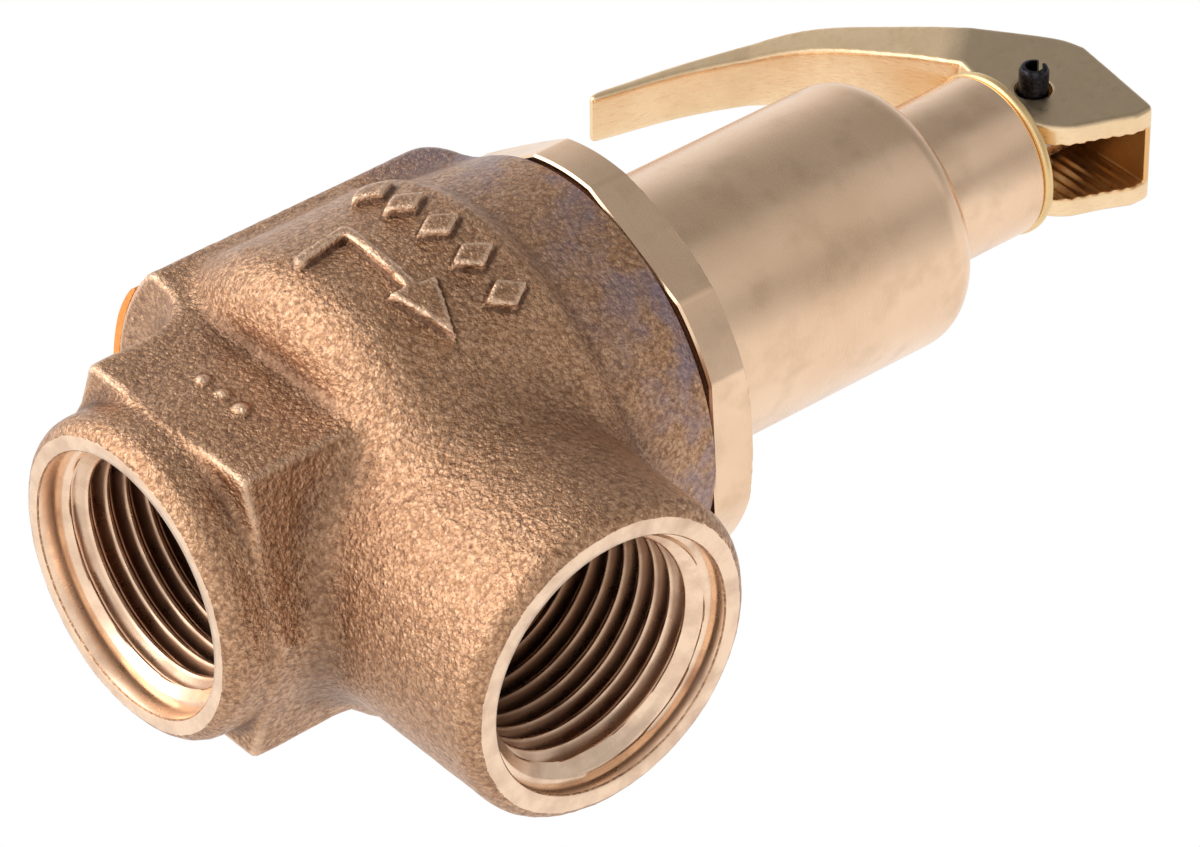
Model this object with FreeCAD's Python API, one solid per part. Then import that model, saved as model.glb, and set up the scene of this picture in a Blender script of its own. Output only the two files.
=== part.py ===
"""Angle-pattern pressure relief valve with a manual easing lever, in millimetres.

The valve stands on its inlet: the origin is the centre of the inlet face, +Z runs up the
valve's axis towards the lever, and +X points out of the side outlet.
A casting holds the inlet, the seat and the outlet. A turned bonnet screws into its top and
holds the spring, the adjusting screw and the spindle. The lever rolls on a washer at the
bonnet's top, lifts the spindle by a pin, and so lifts the disc off its seat.
"""

import FreeCAD, Part
import math
import os

V = FreeCAD.Vector
ORIGIN = V(0, 0, 0)
X_AXIS = V(1, 0, 0)
Y_AXIS = V(0, 1, 0)
Z_AXIS = V(0, 0, 1)
OVERSHOOT = 1.0  # how far a cutting tool runs past the face that it cuts

# Pipe connections: parallel pipe thread, bored to the thread's minor radius
PORT_R = 9.32
PORT_CHAMFER = 1.2
COUNTERBORE_R = 11.0
INLET_COUNTERBORE_DEPTH = 1.9
INLET_BORE_END = 12.0
INLET_FACE_R = 12.15
OUTLET_Z = 22.0
OUTLET_FACE_X = 30.92
OUTLET_COUNTERBORE_DEPTH = 1.3
OUTLET_FACE_R = 12.5
OUTLET_BORE_START = 11.0
OUTLET_BOSS_R = 13.7

# Casting
COLLAR_R = 13.4
WRENCH_START_Z = 4.3
WRENCH_END_Z = 15.4
WRENCH_FLAT_HALF = 13.4  # the two flats lie at plus and minus this in Y
WRENCH_CORNER_X = 9.6
WRENCH_SIDE_X = 13.9
BARREL_START_Z = 15.0
BARREL_R = 19.6
BARREL_ROUND = 5.2
BARREL_RIM_Z = 33.4
BARREL_RIM_STEP = (0.9, 1.6)  # how far the rim draws in, and over what height
BODY_TOP_Z = 43.35
BODY_TOP_R = 17.75
REAR_START_Z = 14.8
REAR_R = 20.9
REAR_ROUND_Z = 39.8
LABEL_R = 21.6
LABEL_HALF_WIDTH = 10.8
LABEL_Z = (15.1, 38.0)

# Raised marks cast on the barrel's front: across is measured round the barrel from -Y towards +X
MARK_HEIGHT = 0.75
MARK_ROOT_R = 16.5  # the marks' prisms start this far inside the casting
ARROW_STROKE = 1.15
ARROW_BEND = ((-2.4, 19.3), (-3.5, 24.4), (5.0, 24.1))  # tail, corner and neck as (across, height)
ARROW_HEAD = ((4.6, 21.9), (10.4, 24.3), (5.0, 26.5))
LOZENGE_ANGLES = (-22, -10, 2, 14, 26)
LOZENGE_Z = 30.2
LOZENGE_HALF = (1.45, 2.2)

# Flow path inside the casting
NECK_R = 6.9
NECK_CONE_T = 1.0
SEAT_POCKET_R = 8.0
SEAT_POCKET_Z = 14.2
CHAMBER_FLOOR_Z = 17.5
CHAMBER_R = 14.0
GUIDE_SEAT_Z = 35.0
GUIDE_POCKET_R = 15.0
BONNET_THREAD_R = 15.5
BONNET_SPIGOT_Z = 37.6

# Seat and disc
SEAT_LIP_Z = 19.5
SEAT_LIP_R = 7.3
SEAT_THROAT_R = 6.35
SEAT_FOOT_RISE = 0.4
SEAT_LIP_CONE = (0.6, 0.5)  # how wide and how deep the lip's cone is
SEAL_R = 8.0
SEAL_T = 1.7
SEAL_GAP = 0.05
SEAL_HOLE_R = 1.9
RETAINER_R = 4.8
RETAINER_T = 1.1
SEAL_SCREW_R = 1.5
SEAL_SCREW_HEAD_R = 2.8
SEAL_SCREW_HEAD_T = 1.7
SEAL_SCREW_SLOT = (0.4, 0.8)  # half width, depth
DISC_R = 9.6
DISC_SKIRT = 1.1
DISC_EDGE = 0.7
DISC_CONE = 1.0
DISC_TOP_Z = 24.0
HUB_R = 5.2
HUB_TOP_Z = 31.0
CLIP_Z = 29.7
CLIP_T = 0.8
CLIP_POCKET_R = 3.9
CLIP_GAP_HALF = 0.6
CLIP_PLAY = 0.1

# Spindle
RUNNING_FIT = 0.06
SPINDLE_FOOT_R = 2.6
SPINDLE_FOOT_Z = 25.6
SPINDLE_FOOT_ROUND = 1.0
SPINDLE_R = 2.3
SHOULDER_R = 4.2
SHOULDER_Z = (38.3, 39.3)
GROOVE_R = 2.0
SPINDLE_TOP_Z = 95.8
SPINDLE_TOP_ROUND = 0.8

# Guide plate and stem seal
GUIDE_BOSS_R = 6.2
GUIDE_BOSS_T = 1.4
STEM_SEAL_WIRE_R = 0.9
STEM_SEAL_PLAY = 0.01
STEM_SEAL_GROOVE_R = SPINDLE_FOOT_R + RUNNING_FIT + 2 * STEM_SEAL_WIRE_R
STEM_SEAL_Z = (GUIDE_SEAT_Z + 0.3, GUIDE_SEAT_Z + 0.3 + 2 * STEM_SEAL_WIRE_R)

# Spring
SPRING_WIRE_R = 1.1
SPRING_MEAN_R = 7.0
SPRING_COILS = 7.0
SPRING_PLATE_R = 8.6
SPRING_PLATE_T = 2.4
PLATE_SPIGOT_R = 5.6
PLATE_SPIGOT_T = 1.2
UPPER_PLATE_PLAY = 0.3
SPRING_FOOT_Z = SHOULDER_Z[1] + SEAL_GAP + SPRING_PLATE_T
SPRING_TOP_Z = 70.0

# Bonnet
GASKET_T = 0.4
GASKET_R = 17.2
FLANGE_T = 4.2
FLANGE_FLAT_R = 17.0  # centre to flat
FLANGE_R = 18.0  # turned outside, which cuts the corners off
FLANGE_TURN = -64.0  # direction in degrees of one flat's normal
FLANGE_CHAMFER = 0.5
FLANGE_CHAMFER_SLOPE = 3  # the chamfer is this many times as wide as it is tall
SPIGOT_TOP_RISE = 1.0
SPIGOT_CONE_TOP_Z = 46.0
BONNET_R = 11.5
BONNET_BORE_R = 9.0
BONNET_BORE_TOP_Z = 74.5
BONNET_BORE_CONE = 1.5
SHOULDER_TOP_Z = 77.0
SHOULDER_TOP_R = 8.5
NECK_OUTER_R = 6.91
NECK_TOP_Z = 87.7
NECK_CHAMFER = 0.6
ADJUSTER_R = 4.5
ADJUSTER_PLAY = 0.02
ADJUSTER_BORE_PLAY = 0.3
ADJUSTER_SLOT = (0.5, 0.8)  # half width, depth
LOCK_POCKET_R = 5.9
LOCK_POCKET_Z = 82.4
LOCK_NUT_R = 5.7
LOCK_NUT_T = 3.0
LOCK_NUT_SLOT = (0.6, 0.8)  # half width, depth
ADJUSTER_TOP_Z = 86.6
BUSH_R = 3.4
BUSH_Z = 83.2
BUSH_BELOW_TOP = 1.0

# Lever
WASHER_R = 7.1
WASHER_HOLE_R = 2.9
WASHER_T = 0.9
PIN_Z = 92.5
PIN_R = 1.25
PIN_BORE_R = 0.8
PIN_SLOT = 0.7
PIN_SLOT_TURN = -45.0
PIN_Y = (-6.7, 5.4)
CHEEK_HOLE_R = 1.5
HEAD_HALF_WIDTH = 4.6
SLOT_HALF_WIDTH = 2.7
SLOT_BACK_X = -4.6
SLOT_TOP_Z = 97.4
RIB_DEPTH = 0.25
RIB_COUNT = 8
RIB_SHARE = 2 / 3  # of the gap's height
SLOT_DEPTH = 5.0  # how far the gap between the cheeks runs below the pin
SLOT_REACH = 20.0
HEEL_BASE = 3.85  # pin centre down to the heel's flat tangent, lever down
HEEL_GAIN = 2.15  # lift for each radian that the lever turns
HEEL_SWEEP = math.radians(60)
ARM_DIRECTION = V(-0.75, 0, -0.66)  # from the pin out along the arm's bend
ARM_TAPER = ((-16.0, 4.6), (6.0, 4.6), (24.0, 2.45), (40.0, 2.25))  # distance that way, half width
ARM_SPAN = 30.0


def on_meridian(r, z):
    return V(r, 0, z)


def outline_face(outline, place):
    """A flat face from corner points. A corner of four numbers ends an arc, through its last two."""
    edges = []
    here = outline[0][:2]
    for corner in outline[1:] + [outline[0][:2]]:
        end = corner[:2]
        if len(corner) == 4:
            edges.append(Part.Arc(place(*here), place(*corner[2:]), place(*end)).toShape())
        elif (place(*end) - place(*here)).Length > 1e-6:
            edges.append(Part.makeLine(place(*here), place(*end)))
        here = end
    return Part.Face(Part.Wire(edges))


def lathe(outline):
    """A solid turned about the valve's axis from (radius, height) corners."""
    return outline_face(outline, on_meridian).revolve(ORIGIN, Z_AXIS, 360)


def rounded_to(centre, radius, start, end):
    """The corner that ends an arc about centre, from one angle to the other, in degrees."""
    points = []
    for angle in (end, (start + end) / 2):
        turn = math.radians(angle)
        points += [centre[0] + radius * math.cos(turn), centre[1] + radius * math.sin(turn)]
    return tuple(points)


def rod(radius, z_from, z_to):
    return Part.makeCylinder(radius, z_to - z_from, V(0, 0, z_from))


def tube(outer, inner, z_from, z_to):
    return rod(outer, z_from, z_to).cut(rod(inner, z_from - OVERSHOOT, z_to + OVERSHOOT))


def cross_rod(radius, y_from, y_to):
    """A rod along Y through the lever's pivot."""
    return Part.makeCylinder(radius, y_to - y_from, V(0, y_from, PIN_Z), Y_AXIS)


def block(x, y, z):
    """A box between pairs of limits."""
    return Part.makeBox(x[1] - x[0], y[1] - y[0], z[1] - z[0], V(x[0], y[0], z[0]))


def along_outlet(solid):
    """Turns a solid made about +Z so that it lies about the outlet's axis, from the valve's axis."""
    solid.rotate(ORIGIN, Y_AXIS, 90)
    solid.translate(V(0, 0, OUTLET_Z))
    return solid


def boss_outline(face_r, boss_r, length, start):
    """A cast boss that rounds over to the machined face at its end."""
    round_r = boss_r - face_r
    return [(0, start), (boss_r, start), (boss_r, length - round_r),
            rounded_to((face_r, length - round_r), round_r, 0, 90), (0, length)]


def port_outline(depth, end):
    """The cutter for a port, from its face inwards: counterbore, chamfer, threaded bore."""
    return [(0, -OVERSHOOT), (COUNTERBORE_R, -OVERSHOOT), (COUNTERBORE_R, depth),
            (PORT_R + PORT_CHAMFER, depth), (PORT_R, depth + PORT_CHAMFER), (PORT_R, end), (0, end)]


def inlet_collar():
    collar = lathe(boss_outline(INLET_FACE_R, COLLAR_R, WRENCH_END_Z, 0))
    collar.rotate(V(0, 0, WRENCH_END_Z / 2), X_AXIS, 180)
    return collar


def wrench_section():
    """Six-sided length that a spanner grips on its two wide flats."""
    corners = [(WRENCH_CORNER_X, -WRENCH_FLAT_HALF), (WRENCH_SIDE_X, 0),
               (WRENCH_CORNER_X, WRENCH_FLAT_HALF), (-WRENCH_CORNER_X, WRENCH_FLAT_HALF),
               (-WRENCH_SIDE_X, 0), (-WRENCH_CORNER_X, -WRENCH_FLAT_HALF)]
    face = outline_face(corners, lambda x, y: V(x, y, WRENCH_START_Z))
    return face.extrude(V(0, 0, WRENCH_END_Z - WRENCH_START_Z))


def barrel():
    """Round middle of the casting: rounded at its foot, drawn in a little at its rim."""
    foot_r = BARREL_R - BARREL_ROUND
    foot_z = BARREL_START_Z + BARREL_ROUND
    step, rise = BARREL_RIM_STEP
    return lathe([(0, BARREL_START_Z), (foot_r, BARREL_START_Z),
                  rounded_to((foot_r, foot_z), BARREL_ROUND, -90, 0),
                  (BARREL_R, BARREL_RIM_Z), (BARREL_R - step, BARREL_RIM_Z + rise),
                  (BODY_TOP_R, BODY_TOP_Z), (0, BODY_TOP_Z)])


def rear_quarter():
    """Deeper rear side, between the two flats, opposite the outlet."""
    shoulder = BODY_TOP_Z - REAR_ROUND_Z
    turned = lathe([(0, REAR_START_Z), (REAR_R, REAR_START_Z), (REAR_R, REAR_ROUND_Z),
                    rounded_to((REAR_R - shoulder, REAR_ROUND_Z), shoulder, 0, 90),
                    (0, BODY_TOP_Z)])
    flat = WRENCH_FLAT_HALF
    return turned.common(block((-REAR_R, 0), (-flat, flat), (REAR_START_Z, BODY_TOP_Z)))


def outlet_boss():
    return along_outlet(lathe(boss_outline(OUTLET_FACE_R, OUTLET_BOSS_R, OUTLET_FACE_X, 0)))


def raised_mark(corners, angle):
    """A low raised shape on the barrel. Its corners are measured round the barrel and up, and the
    angle is the direction in degrees, from -Y towards +X, that its sides run out in."""
    out = V(math.sin(math.radians(angle)), -math.cos(math.radians(angle)), 0)
    aside = out.cross(Z_AXIS) * -1
    middle = math.radians(angle) * BARREL_R

    def place(across, height):
        return out * MARK_ROOT_R + aside * (BARREL_R * math.sin((across - middle) / BARREL_R)) \
            + Z_AXIS * height

    top_r = BARREL_R + MARK_HEIGHT
    prism = outline_face(list(corners), place).extrude(out * (top_r - MARK_ROOT_R + OVERSHOOT))
    return prism.common(rod(top_r, BARREL_START_Z, BARREL_RIM_Z))


def stroke(start, end):
    """Corners of a straight stroke with square ends, half a stroke past both of its points."""
    length = math.dist(start, end)
    half = ARROW_STROKE / 2
    along = [half * (b - a) / length for a, b in zip(start, end)]
    aside = (-along[1], along[0])
    corners = []
    for point, way, side in ((start, -1, -1), (end, 1, -1), (end, 1, 1), (start, -1, 1)):
        corners.append(tuple(p + way * a + side * b for p, a, b in zip(point, along, aside)))
    return corners


def raised_marks():
    """Flow arrow that turns from the inlet to the outlet, and a row of plain lozenges above it."""
    tail, corner, neck = ARROW_BEND
    middle = math.degrees((corner[0] + ARROW_HEAD[1][0]) / 2 / BARREL_R)
    marks = [raised_mark(stroke(tail, corner), middle), raised_mark(stroke(corner, neck), middle),
             raised_mark(ARROW_HEAD, middle)]
    wide, tall = LOZENGE_HALF
    for angle in LOZENGE_ANGLES:
        across = math.radians(angle) * BARREL_R
        marks.append(raised_mark([(across - wide, LOZENGE_Z), (across, LOZENGE_Z - tall),
                                  (across + wide, LOZENGE_Z), (across, LOZENGE_Z + tall)], angle))
    return marks


def flow_cavity():
    """Inlet bore, seat pocket, chamber, and the bored top that takes the guide and bonnet."""
    up = port_outline(INLET_COUNTERBORE_DEPTH, INLET_BORE_END)[:-1]
    cone_top = INLET_BORE_END + NECK_CONE_T
    up += [(NECK_R, cone_top), (NECK_R, SEAT_POCKET_Z), (SEAT_POCKET_R, SEAT_POCKET_Z),
           (SEAT_POCKET_R, CHAMBER_FLOOR_Z), (CHAMBER_R, CHAMBER_FLOOR_Z),
           (CHAMBER_R, GUIDE_SEAT_Z), (GUIDE_POCKET_R, GUIDE_SEAT_Z),
           (GUIDE_POCKET_R, BONNET_SPIGOT_Z), (BONNET_THREAD_R, BONNET_SPIGOT_Z),
           (BONNET_THREAD_R, BODY_TOP_Z + OVERSHOOT), (0, BODY_TOP_Z + OVERSHOOT)]
    side = lathe(port_outline(OUTLET_COUNTERBORE_DEPTH, OUTLET_FACE_X - OUTLET_BORE_START))
    side.rotate(ORIGIN, X_AXIS, 180)
    side.translate(V(0, 0, OUTLET_FACE_X))
    return lathe(up).fuse(along_outlet(side))


def valve_body():
    casting = inlet_collar()
    for lump in [wrench_section(), barrel(), rear_quarter(), outlet_boss()] + raised_marks():
        casting = casting.fuse(lump)
    return casting.cut(flow_cavity()).removeSplitter()


def rear_label():
    """Thin blank label wrapped on the rear of the casting."""
    sleeve = tube(LABEL_R, REAR_R, *LABEL_Z)
    half = LABEL_HALF_WIDTH
    return sleeve.common(block((-LABEL_R - OVERSHOOT, 0), (-half, half), LABEL_Z))


def seat_ring():
    """Stainless nozzle pressed into the casting, with a raised seating lip."""
    wide, deep = SEAT_LIP_CONE
    return lathe([(SEAT_THROAT_R, SEAT_POCKET_Z), (SEAT_POCKET_R, SEAT_POCKET_Z),
                  (SEAT_POCKET_R, CHAMBER_FLOOR_Z), (SEAT_LIP_R, CHAMBER_FLOOR_Z + SEAT_FOOT_RISE),
                  (SEAT_LIP_R, SEAT_LIP_Z - deep), (SEAT_THROAT_R + wide, SEAT_LIP_Z),
                  (SEAT_THROAT_R, SEAT_LIP_Z)])


def disc_seal():
    low = SEAT_LIP_Z + SEAL_GAP
    return tube(SEAL_R, SEAL_HOLE_R, low, low + SEAL_T)


def seal_retainer():
    low = SEAT_LIP_Z + SEAL_GAP
    return tube(RETAINER_R, SEAL_SCREW_R, low - RETAINER_T, low)


def seal_screw():
    """Slotted screw that holds the seal and its retainer up against the disc."""
    head_top = SEAT_LIP_Z + SEAL_GAP - RETAINER_T
    head_foot = head_top - SEAL_SCREW_HEAD_T
    screw = rod(SEAL_SCREW_HEAD_R, head_foot, head_top).fuse(rod(SEAL_SCREW_R, head_top, DISC_TOP_Z))
    reach = SEAL_SCREW_HEAD_R + OVERSHOOT
    half, depth = SEAL_SCREW_SLOT
    slot = block((-reach, reach), (-half, half), (head_foot - OVERSHOOT, head_foot + depth))
    return screw.cut(slot)


def valve_disc():
    """Disc with a recess for the seal below and a socket for the spindle's foot above."""
    seal_top = SEAT_LIP_Z + SEAL_GAP + SEAL_T
    low = seal_top - DISC_SKIRT
    edge = DISC_EDGE
    disc = lathe([(0, low), (DISC_R - edge, low), (DISC_R, low + edge), (DISC_R, DISC_TOP_Z - edge),
                  (DISC_R - edge, DISC_TOP_Z), (HUB_R, DISC_TOP_Z + DISC_CONE),
                  (HUB_R, HUB_TOP_Z - edge), (HUB_R - edge, HUB_TOP_Z), (0, HUB_TOP_Z)])
    recess = rod(SEAL_R, low - OVERSHOOT, seal_top)
    screw_hole = rod(SEAL_SCREW_R, seal_top - OVERSHOOT, DISC_TOP_Z)
    socket = rod(SPINDLE_FOOT_R + RUNNING_FIT, SPINDLE_FOOT_Z - CLIP_PLAY, HUB_TOP_Z + OVERSHOOT)
    pocket = rod(CLIP_POCKET_R, CLIP_Z, HUB_TOP_Z + OVERSHOOT)
    for tool in (recess, screw_hole, socket, pocket):
        disc = disc.cut(tool)
    return disc


def spindle_clip():
    """Split ring in the disc's hub that the spindle lifts by its groove."""
    ring = tube(CLIP_POCKET_R, GROOVE_R + RUNNING_FIT, CLIP_Z, CLIP_Z + CLIP_T)
    half = CLIP_GAP_HALF
    gap = block((0, CLIP_POCKET_R + OVERSHOOT), (-half, half), (CLIP_Z, CLIP_Z + CLIP_T))
    return ring.cut(gap)


def spindle():
    """Turned rod: ball foot, clip groove, spring shoulder, and a cross-drilled top for the pin."""
    foot_r = SPINDLE_FOOT_R
    foot_round = SPINDLE_FOOT_ROUND
    top_round = SPINDLE_TOP_ROUND
    top_centre = (SPINDLE_R - top_round, SPINDLE_TOP_Z - top_round)
    groove = (CLIP_Z - CLIP_PLAY, CLIP_Z + CLIP_T + CLIP_PLAY)
    shaft = lathe([(0, SPINDLE_FOOT_Z), (foot_r - foot_round, SPINDLE_FOOT_Z),
                   rounded_to((foot_r - foot_round, SPINDLE_FOOT_Z + foot_round), foot_round, -90, 0),
                   (foot_r, groove[0]), (GROOVE_R, groove[0]), (GROOVE_R, groove[1]),
                   (foot_r, groove[1]), (foot_r, SHOULDER_Z[0]), (SHOULDER_R, SHOULDER_Z[0]),
                   (SHOULDER_R, SHOULDER_Z[1]), (SPINDLE_R, SHOULDER_Z[1]),
                   (SPINDLE_R, top_centre[1]), rounded_to(top_centre, top_round, 0, 90),
                   (0, SPINDLE_TOP_Z)])
    return shaft.cut(cross_rod(PIN_R, -SHOULDER_R, SHOULDER_R))


def guide_plate():
    """Plate clamped under the bonnet that guides the spindle and closes off the chamber."""
    low = GUIDE_SEAT_Z - GUIDE_BOSS_T
    plate = lathe([(0, low), (GUIDE_BOSS_R, low), (GUIDE_BOSS_R, GUIDE_SEAT_Z),
                   (GUIDE_POCKET_R - RUNNING_FIT, GUIDE_SEAT_Z),
                   (GUIDE_POCKET_R - RUNNING_FIT, BONNET_SPIGOT_Z), (0, BONNET_SPIGOT_Z)])
    hole = rod(SPINDLE_FOOT_R + RUNNING_FIT, low - OVERSHOOT, BONNET_SPIGOT_Z + OVERSHOOT)
    groove = rod(STEM_SEAL_GROOVE_R, *STEM_SEAL_Z)
    return plate.cut(hole).cut(groove)


def stem_seal():
    """Rubber ring in the guide plate's groove, just clear of the spindle."""
    middle = STEM_SEAL_GROOVE_R - STEM_SEAL_WIRE_R
    height = sum(STEM_SEAL_Z) / 2
    return Part.makeTorus(middle, STEM_SEAL_WIRE_R - STEM_SEAL_PLAY, V(0, 0, height))


def spring_plate(spring_end, side, hole_r):
    """Plate under (side -1) or over (side +1) the spring, with a spigot inside the coils."""
    back = spring_end + side * SPRING_PLATE_T
    nose = spring_end - side * PLATE_SPIGOT_T
    return lathe([(hole_r, back), (SPRING_PLATE_R, back), (SPRING_PLATE_R, spring_end),
                  (PLATE_SPIGOT_R, spring_end), (PLATE_SPIGOT_R, nose), (hole_r, nose)])


def lower_spring_plate():
    return spring_plate(SPRING_FOOT_Z, -1, SPINDLE_R + RUNNING_FIT)


def upper_spring_plate():
    return spring_plate(SPRING_TOP_Z, 1, SPINDLE_R + UPPER_PLATE_PLAY)


def main_spring():
    """Round-wire helix whose ends are ground flat against the two plates."""
    height = SPRING_TOP_Z - SPRING_FOOT_Z
    helix = Part.makeHelix(height / SPRING_COILS, height, SPRING_MEAN_R)
    helix.translate(V(0, 0, SPRING_FOOT_Z))
    section = Part.Wire(Part.makeCircle(SPRING_WIRE_R, V(SPRING_MEAN_R, 0, SPRING_FOOT_Z), Y_AXIS))
    coil = Part.Wire(helix.Edges).makePipeShell([section], True, True)
    reach = SPRING_MEAN_R + 2 * SPRING_WIRE_R
    return coil.common(block((-reach, reach), (-reach, reach), (SPRING_FOOT_Z, SPRING_TOP_Z)))


def hexagon_prism(flat_r, turn, z_from, z_to):
    """Hexagonal bar with a flat's normal at the given direction."""
    corner_r = flat_r / math.cos(math.radians(30))
    corners = []
    for side in range(6):
        angle = math.radians(turn + 30 + 60 * side)
        corners.append((corner_r * math.cos(angle), corner_r * math.sin(angle)))
    face = outline_face(corners, lambda x, y: V(x, y, z_from))
    return face.extrude(V(0, 0, z_to - z_from))


def bonnet_flange():
    """Hexagon with its corners turned off, chamfered on the upper edge."""
    low = BODY_TOP_Z + GASKET_T
    top = low + FLANGE_T
    turned = lathe([(0, low), (FLANGE_R, low), (FLANGE_R, top - FLANGE_CHAMFER),
                    (FLANGE_R - FLANGE_CHAMFER_SLOPE * FLANGE_CHAMFER, top), (0, top)])
    return turned.common(hexagon_prism(FLANGE_FLAT_R, FLANGE_TURN, low, top))


def bonnet():
    """Turned spring housing: threaded spigot, spanner flange, cylinder, shoulder and neck."""
    shoulder_r = BONNET_R - SHOULDER_TOP_R
    shell = lathe([(0, BONNET_SPIGOT_Z), (BONNET_THREAD_R - RUNNING_FIT, BONNET_SPIGOT_Z),
                   (BONNET_THREAD_R - RUNNING_FIT, BODY_TOP_Z + GASKET_T + SPIGOT_TOP_RISE),
                   (BONNET_R, SPIGOT_CONE_TOP_Z), (BONNET_R, SHOULDER_TOP_Z - shoulder_r),
                   rounded_to((SHOULDER_TOP_R, SHOULDER_TOP_Z - shoulder_r), shoulder_r, 0, 90),
                   (NECK_OUTER_R, SHOULDER_TOP_Z), (NECK_OUTER_R, NECK_TOP_Z - NECK_CHAMFER),
                   (NECK_OUTER_R - NECK_CHAMFER, NECK_TOP_Z), (0, NECK_TOP_Z)])
    bore = lathe([(0, BONNET_SPIGOT_Z - OVERSHOOT), (BONNET_BORE_R, BONNET_SPIGOT_Z - OVERSHOOT),
                  (BONNET_BORE_R, BONNET_BORE_TOP_Z), (ADJUSTER_R, BONNET_BORE_TOP_Z + BONNET_BORE_CONE),
                  (ADJUSTER_R, LOCK_POCKET_Z), (LOCK_POCKET_R, LOCK_POCKET_Z),
                  (LOCK_POCKET_R, NECK_TOP_Z + OVERSHOOT), (0, NECK_TOP_Z + OVERSHOOT)])
    return shell.fuse(bonnet_flange()).cut(bore).removeSplitter()


def bonnet_gasket():
    return tube(GASKET_R, BONNET_THREAD_R, BODY_TOP_Z, BODY_TOP_Z + GASKET_T)


def adjusting_screw():
    """Hollow screw that sets the spring's load, slotted on top for a flat driver."""
    foot = SPRING_TOP_Z + SPRING_PLATE_T
    past = ADJUSTER_TOP_Z + OVERSHOOT
    screw = rod(ADJUSTER_R - ADJUSTER_PLAY, foot, ADJUSTER_TOP_Z)
    screw = screw.cut(rod(SPINDLE_R + ADJUSTER_BORE_PLAY, foot - OVERSHOOT, past))
    screw = screw.cut(rod(BUSH_R, BUSH_Z, past))
    half, depth = ADJUSTER_SLOT
    return screw.cut(block((-ADJUSTER_R, ADJUSTER_R), (-half, half), (ADJUSTER_TOP_Z - depth, past)))


def spindle_bush():
    return tube(BUSH_R, SPINDLE_R + RUNNING_FIT, BUSH_Z, ADJUSTER_TOP_Z - BUSH_BELOW_TOP)


def lock_nut():
    """Round nut in the neck's pocket, with two slots for a pin spanner."""
    nut = tube(LOCK_NUT_R, ADJUSTER_R, LOCK_POCKET_Z, LOCK_POCKET_Z + LOCK_NUT_T)
    reach = LOCK_NUT_R + OVERSHOOT
    top = LOCK_POCKET_Z + LOCK_NUT_T
    half, depth = LOCK_NUT_SLOT
    return nut.cut(block((-half, half), (-reach, reach), (top - depth, top + OVERSHOOT)))


def thrust_washer():
    return tube(WASHER_R, WASHER_HOLE_R, NECK_TOP_Z, NECK_TOP_Z + WASHER_T)


def lever_pin():
    """Rolled spring pin: a tube with a slot along its whole length."""
    past = (PIN_Y[0] - OVERSHOOT, PIN_Y[1] + OVERSHOOT)
    pin = cross_rod(PIN_R, *PIN_Y).cut(cross_rod(PIN_BORE_R, *past))
    slot = block((0, 2 * PIN_R), past, (PIN_Z - PIN_SLOT / 2, PIN_Z + PIN_SLOT / 2))
    slot.rotate(V(0, 0, PIN_Z), Y_AXIS, PIN_SLOT_TURN)
    return pin.cut(slot)


def on_lever(x, z):
    return V(x, -HEAD_HALF_WIDTH, z)


def heel_point(turn):
    """The heel is an involute, so the lever lifts by the same amount for each degree."""
    reach = HEEL_BASE + HEEL_GAIN * turn
    x = reach * math.sin(turn) + HEEL_GAIN * math.cos(turn)
    z = -reach * math.cos(turn) + HEEL_GAIN * math.sin(turn)
    return x, PIN_Z + z


def curve(points):
    spline = Part.BSplineCurve()
    spline.interpolate([on_lever(*p) for p in points])
    return spline.toShape()


def lever_profile():
    """Side view of the lever: heel, end, crown, the arm's back, its tip and its hollow side."""
    heel = [heel_point(HEEL_SWEEP * step / 6) for step in range(7)]
    end_face = [heel[-1], (7.35, 93.9), (8.4, 96.2), (8.45, 98.3)]
    crown = [end_face[-1], (-1.8, 99.9), (-3.6, 99.8)]
    back = [crown[-1], (-8.2, 96.2), (-14.7, 91.1), (-20.6, 85.3), (-23.4, 77.0), (-25.3, 67.3)]
    tip = [back[-1], (-25.15, 66.1), (-24.35, 66.3)]
    hollow = [tip[-1], (-22.0, 75.4), (-18.1, 83.0), (-11.4, 87.9), (-6.6, 90.4)]
    foot = [hollow[-1], (-4.2, 89.86), (-0.3, 89.0), heel[0]]
    edges = [curve(heel)]
    for run in (end_face, crown):
        edges += [Part.makeLine(on_lever(*a), on_lever(*b)) for a, b in zip(run, run[1:])]
    edges.append(curve(back))
    edges.append(Part.Arc(*[on_lever(*p) for p in tip]).toShape())
    edges.append(curve(hollow))
    edges += [Part.makeLine(on_lever(*a), on_lever(*b)) for a, b in zip(foot, foot[1:])]
    return Part.Face(Part.Wire(edges))


def lever_plan():
    """Prism that is full width at the head and tapers along the arm, seen square to the bend."""
    along = V(ARM_DIRECTION)
    along.normalize()
    across = along.cross(Y_AXIS)
    pivot = V(0, 0, PIN_Z)
    plan = [(s, -w) for s, w in ARM_TAPER] + [(s, w) for s, w in reversed(ARM_TAPER)]
    face = outline_face(plan, lambda s, y: pivot + along * s + Y_AXIS * y - across * ARM_SPAN)
    return face.extrude(across * (2 * ARM_SPAN))


def lever_slot():
    """The gap between the cheeks, ribbed on both walls, open below and at the end."""
    low = PIN_Z - SLOT_DEPTH
    pitch = (SLOT_TOP_Z - low) * RIB_SHARE / RIB_COUNT
    wall = SLOT_HALF_WIDTH
    side = [(wall, low)]
    height = SLOT_TOP_Z - RIB_COUNT * pitch
    side.append((wall, height))
    for _ in range(RIB_COUNT):
        side.append((wall - RIB_DEPTH, height + pitch / 2))
        height += pitch
        side.append((wall, height))
    section = side + [(-y, z) for y, z in reversed(side)]
    face = outline_face(section, lambda y, z: V(SLOT_BACK_X, y, z))
    return face.extrude(V(SLOT_REACH, 0, 0))


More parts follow.
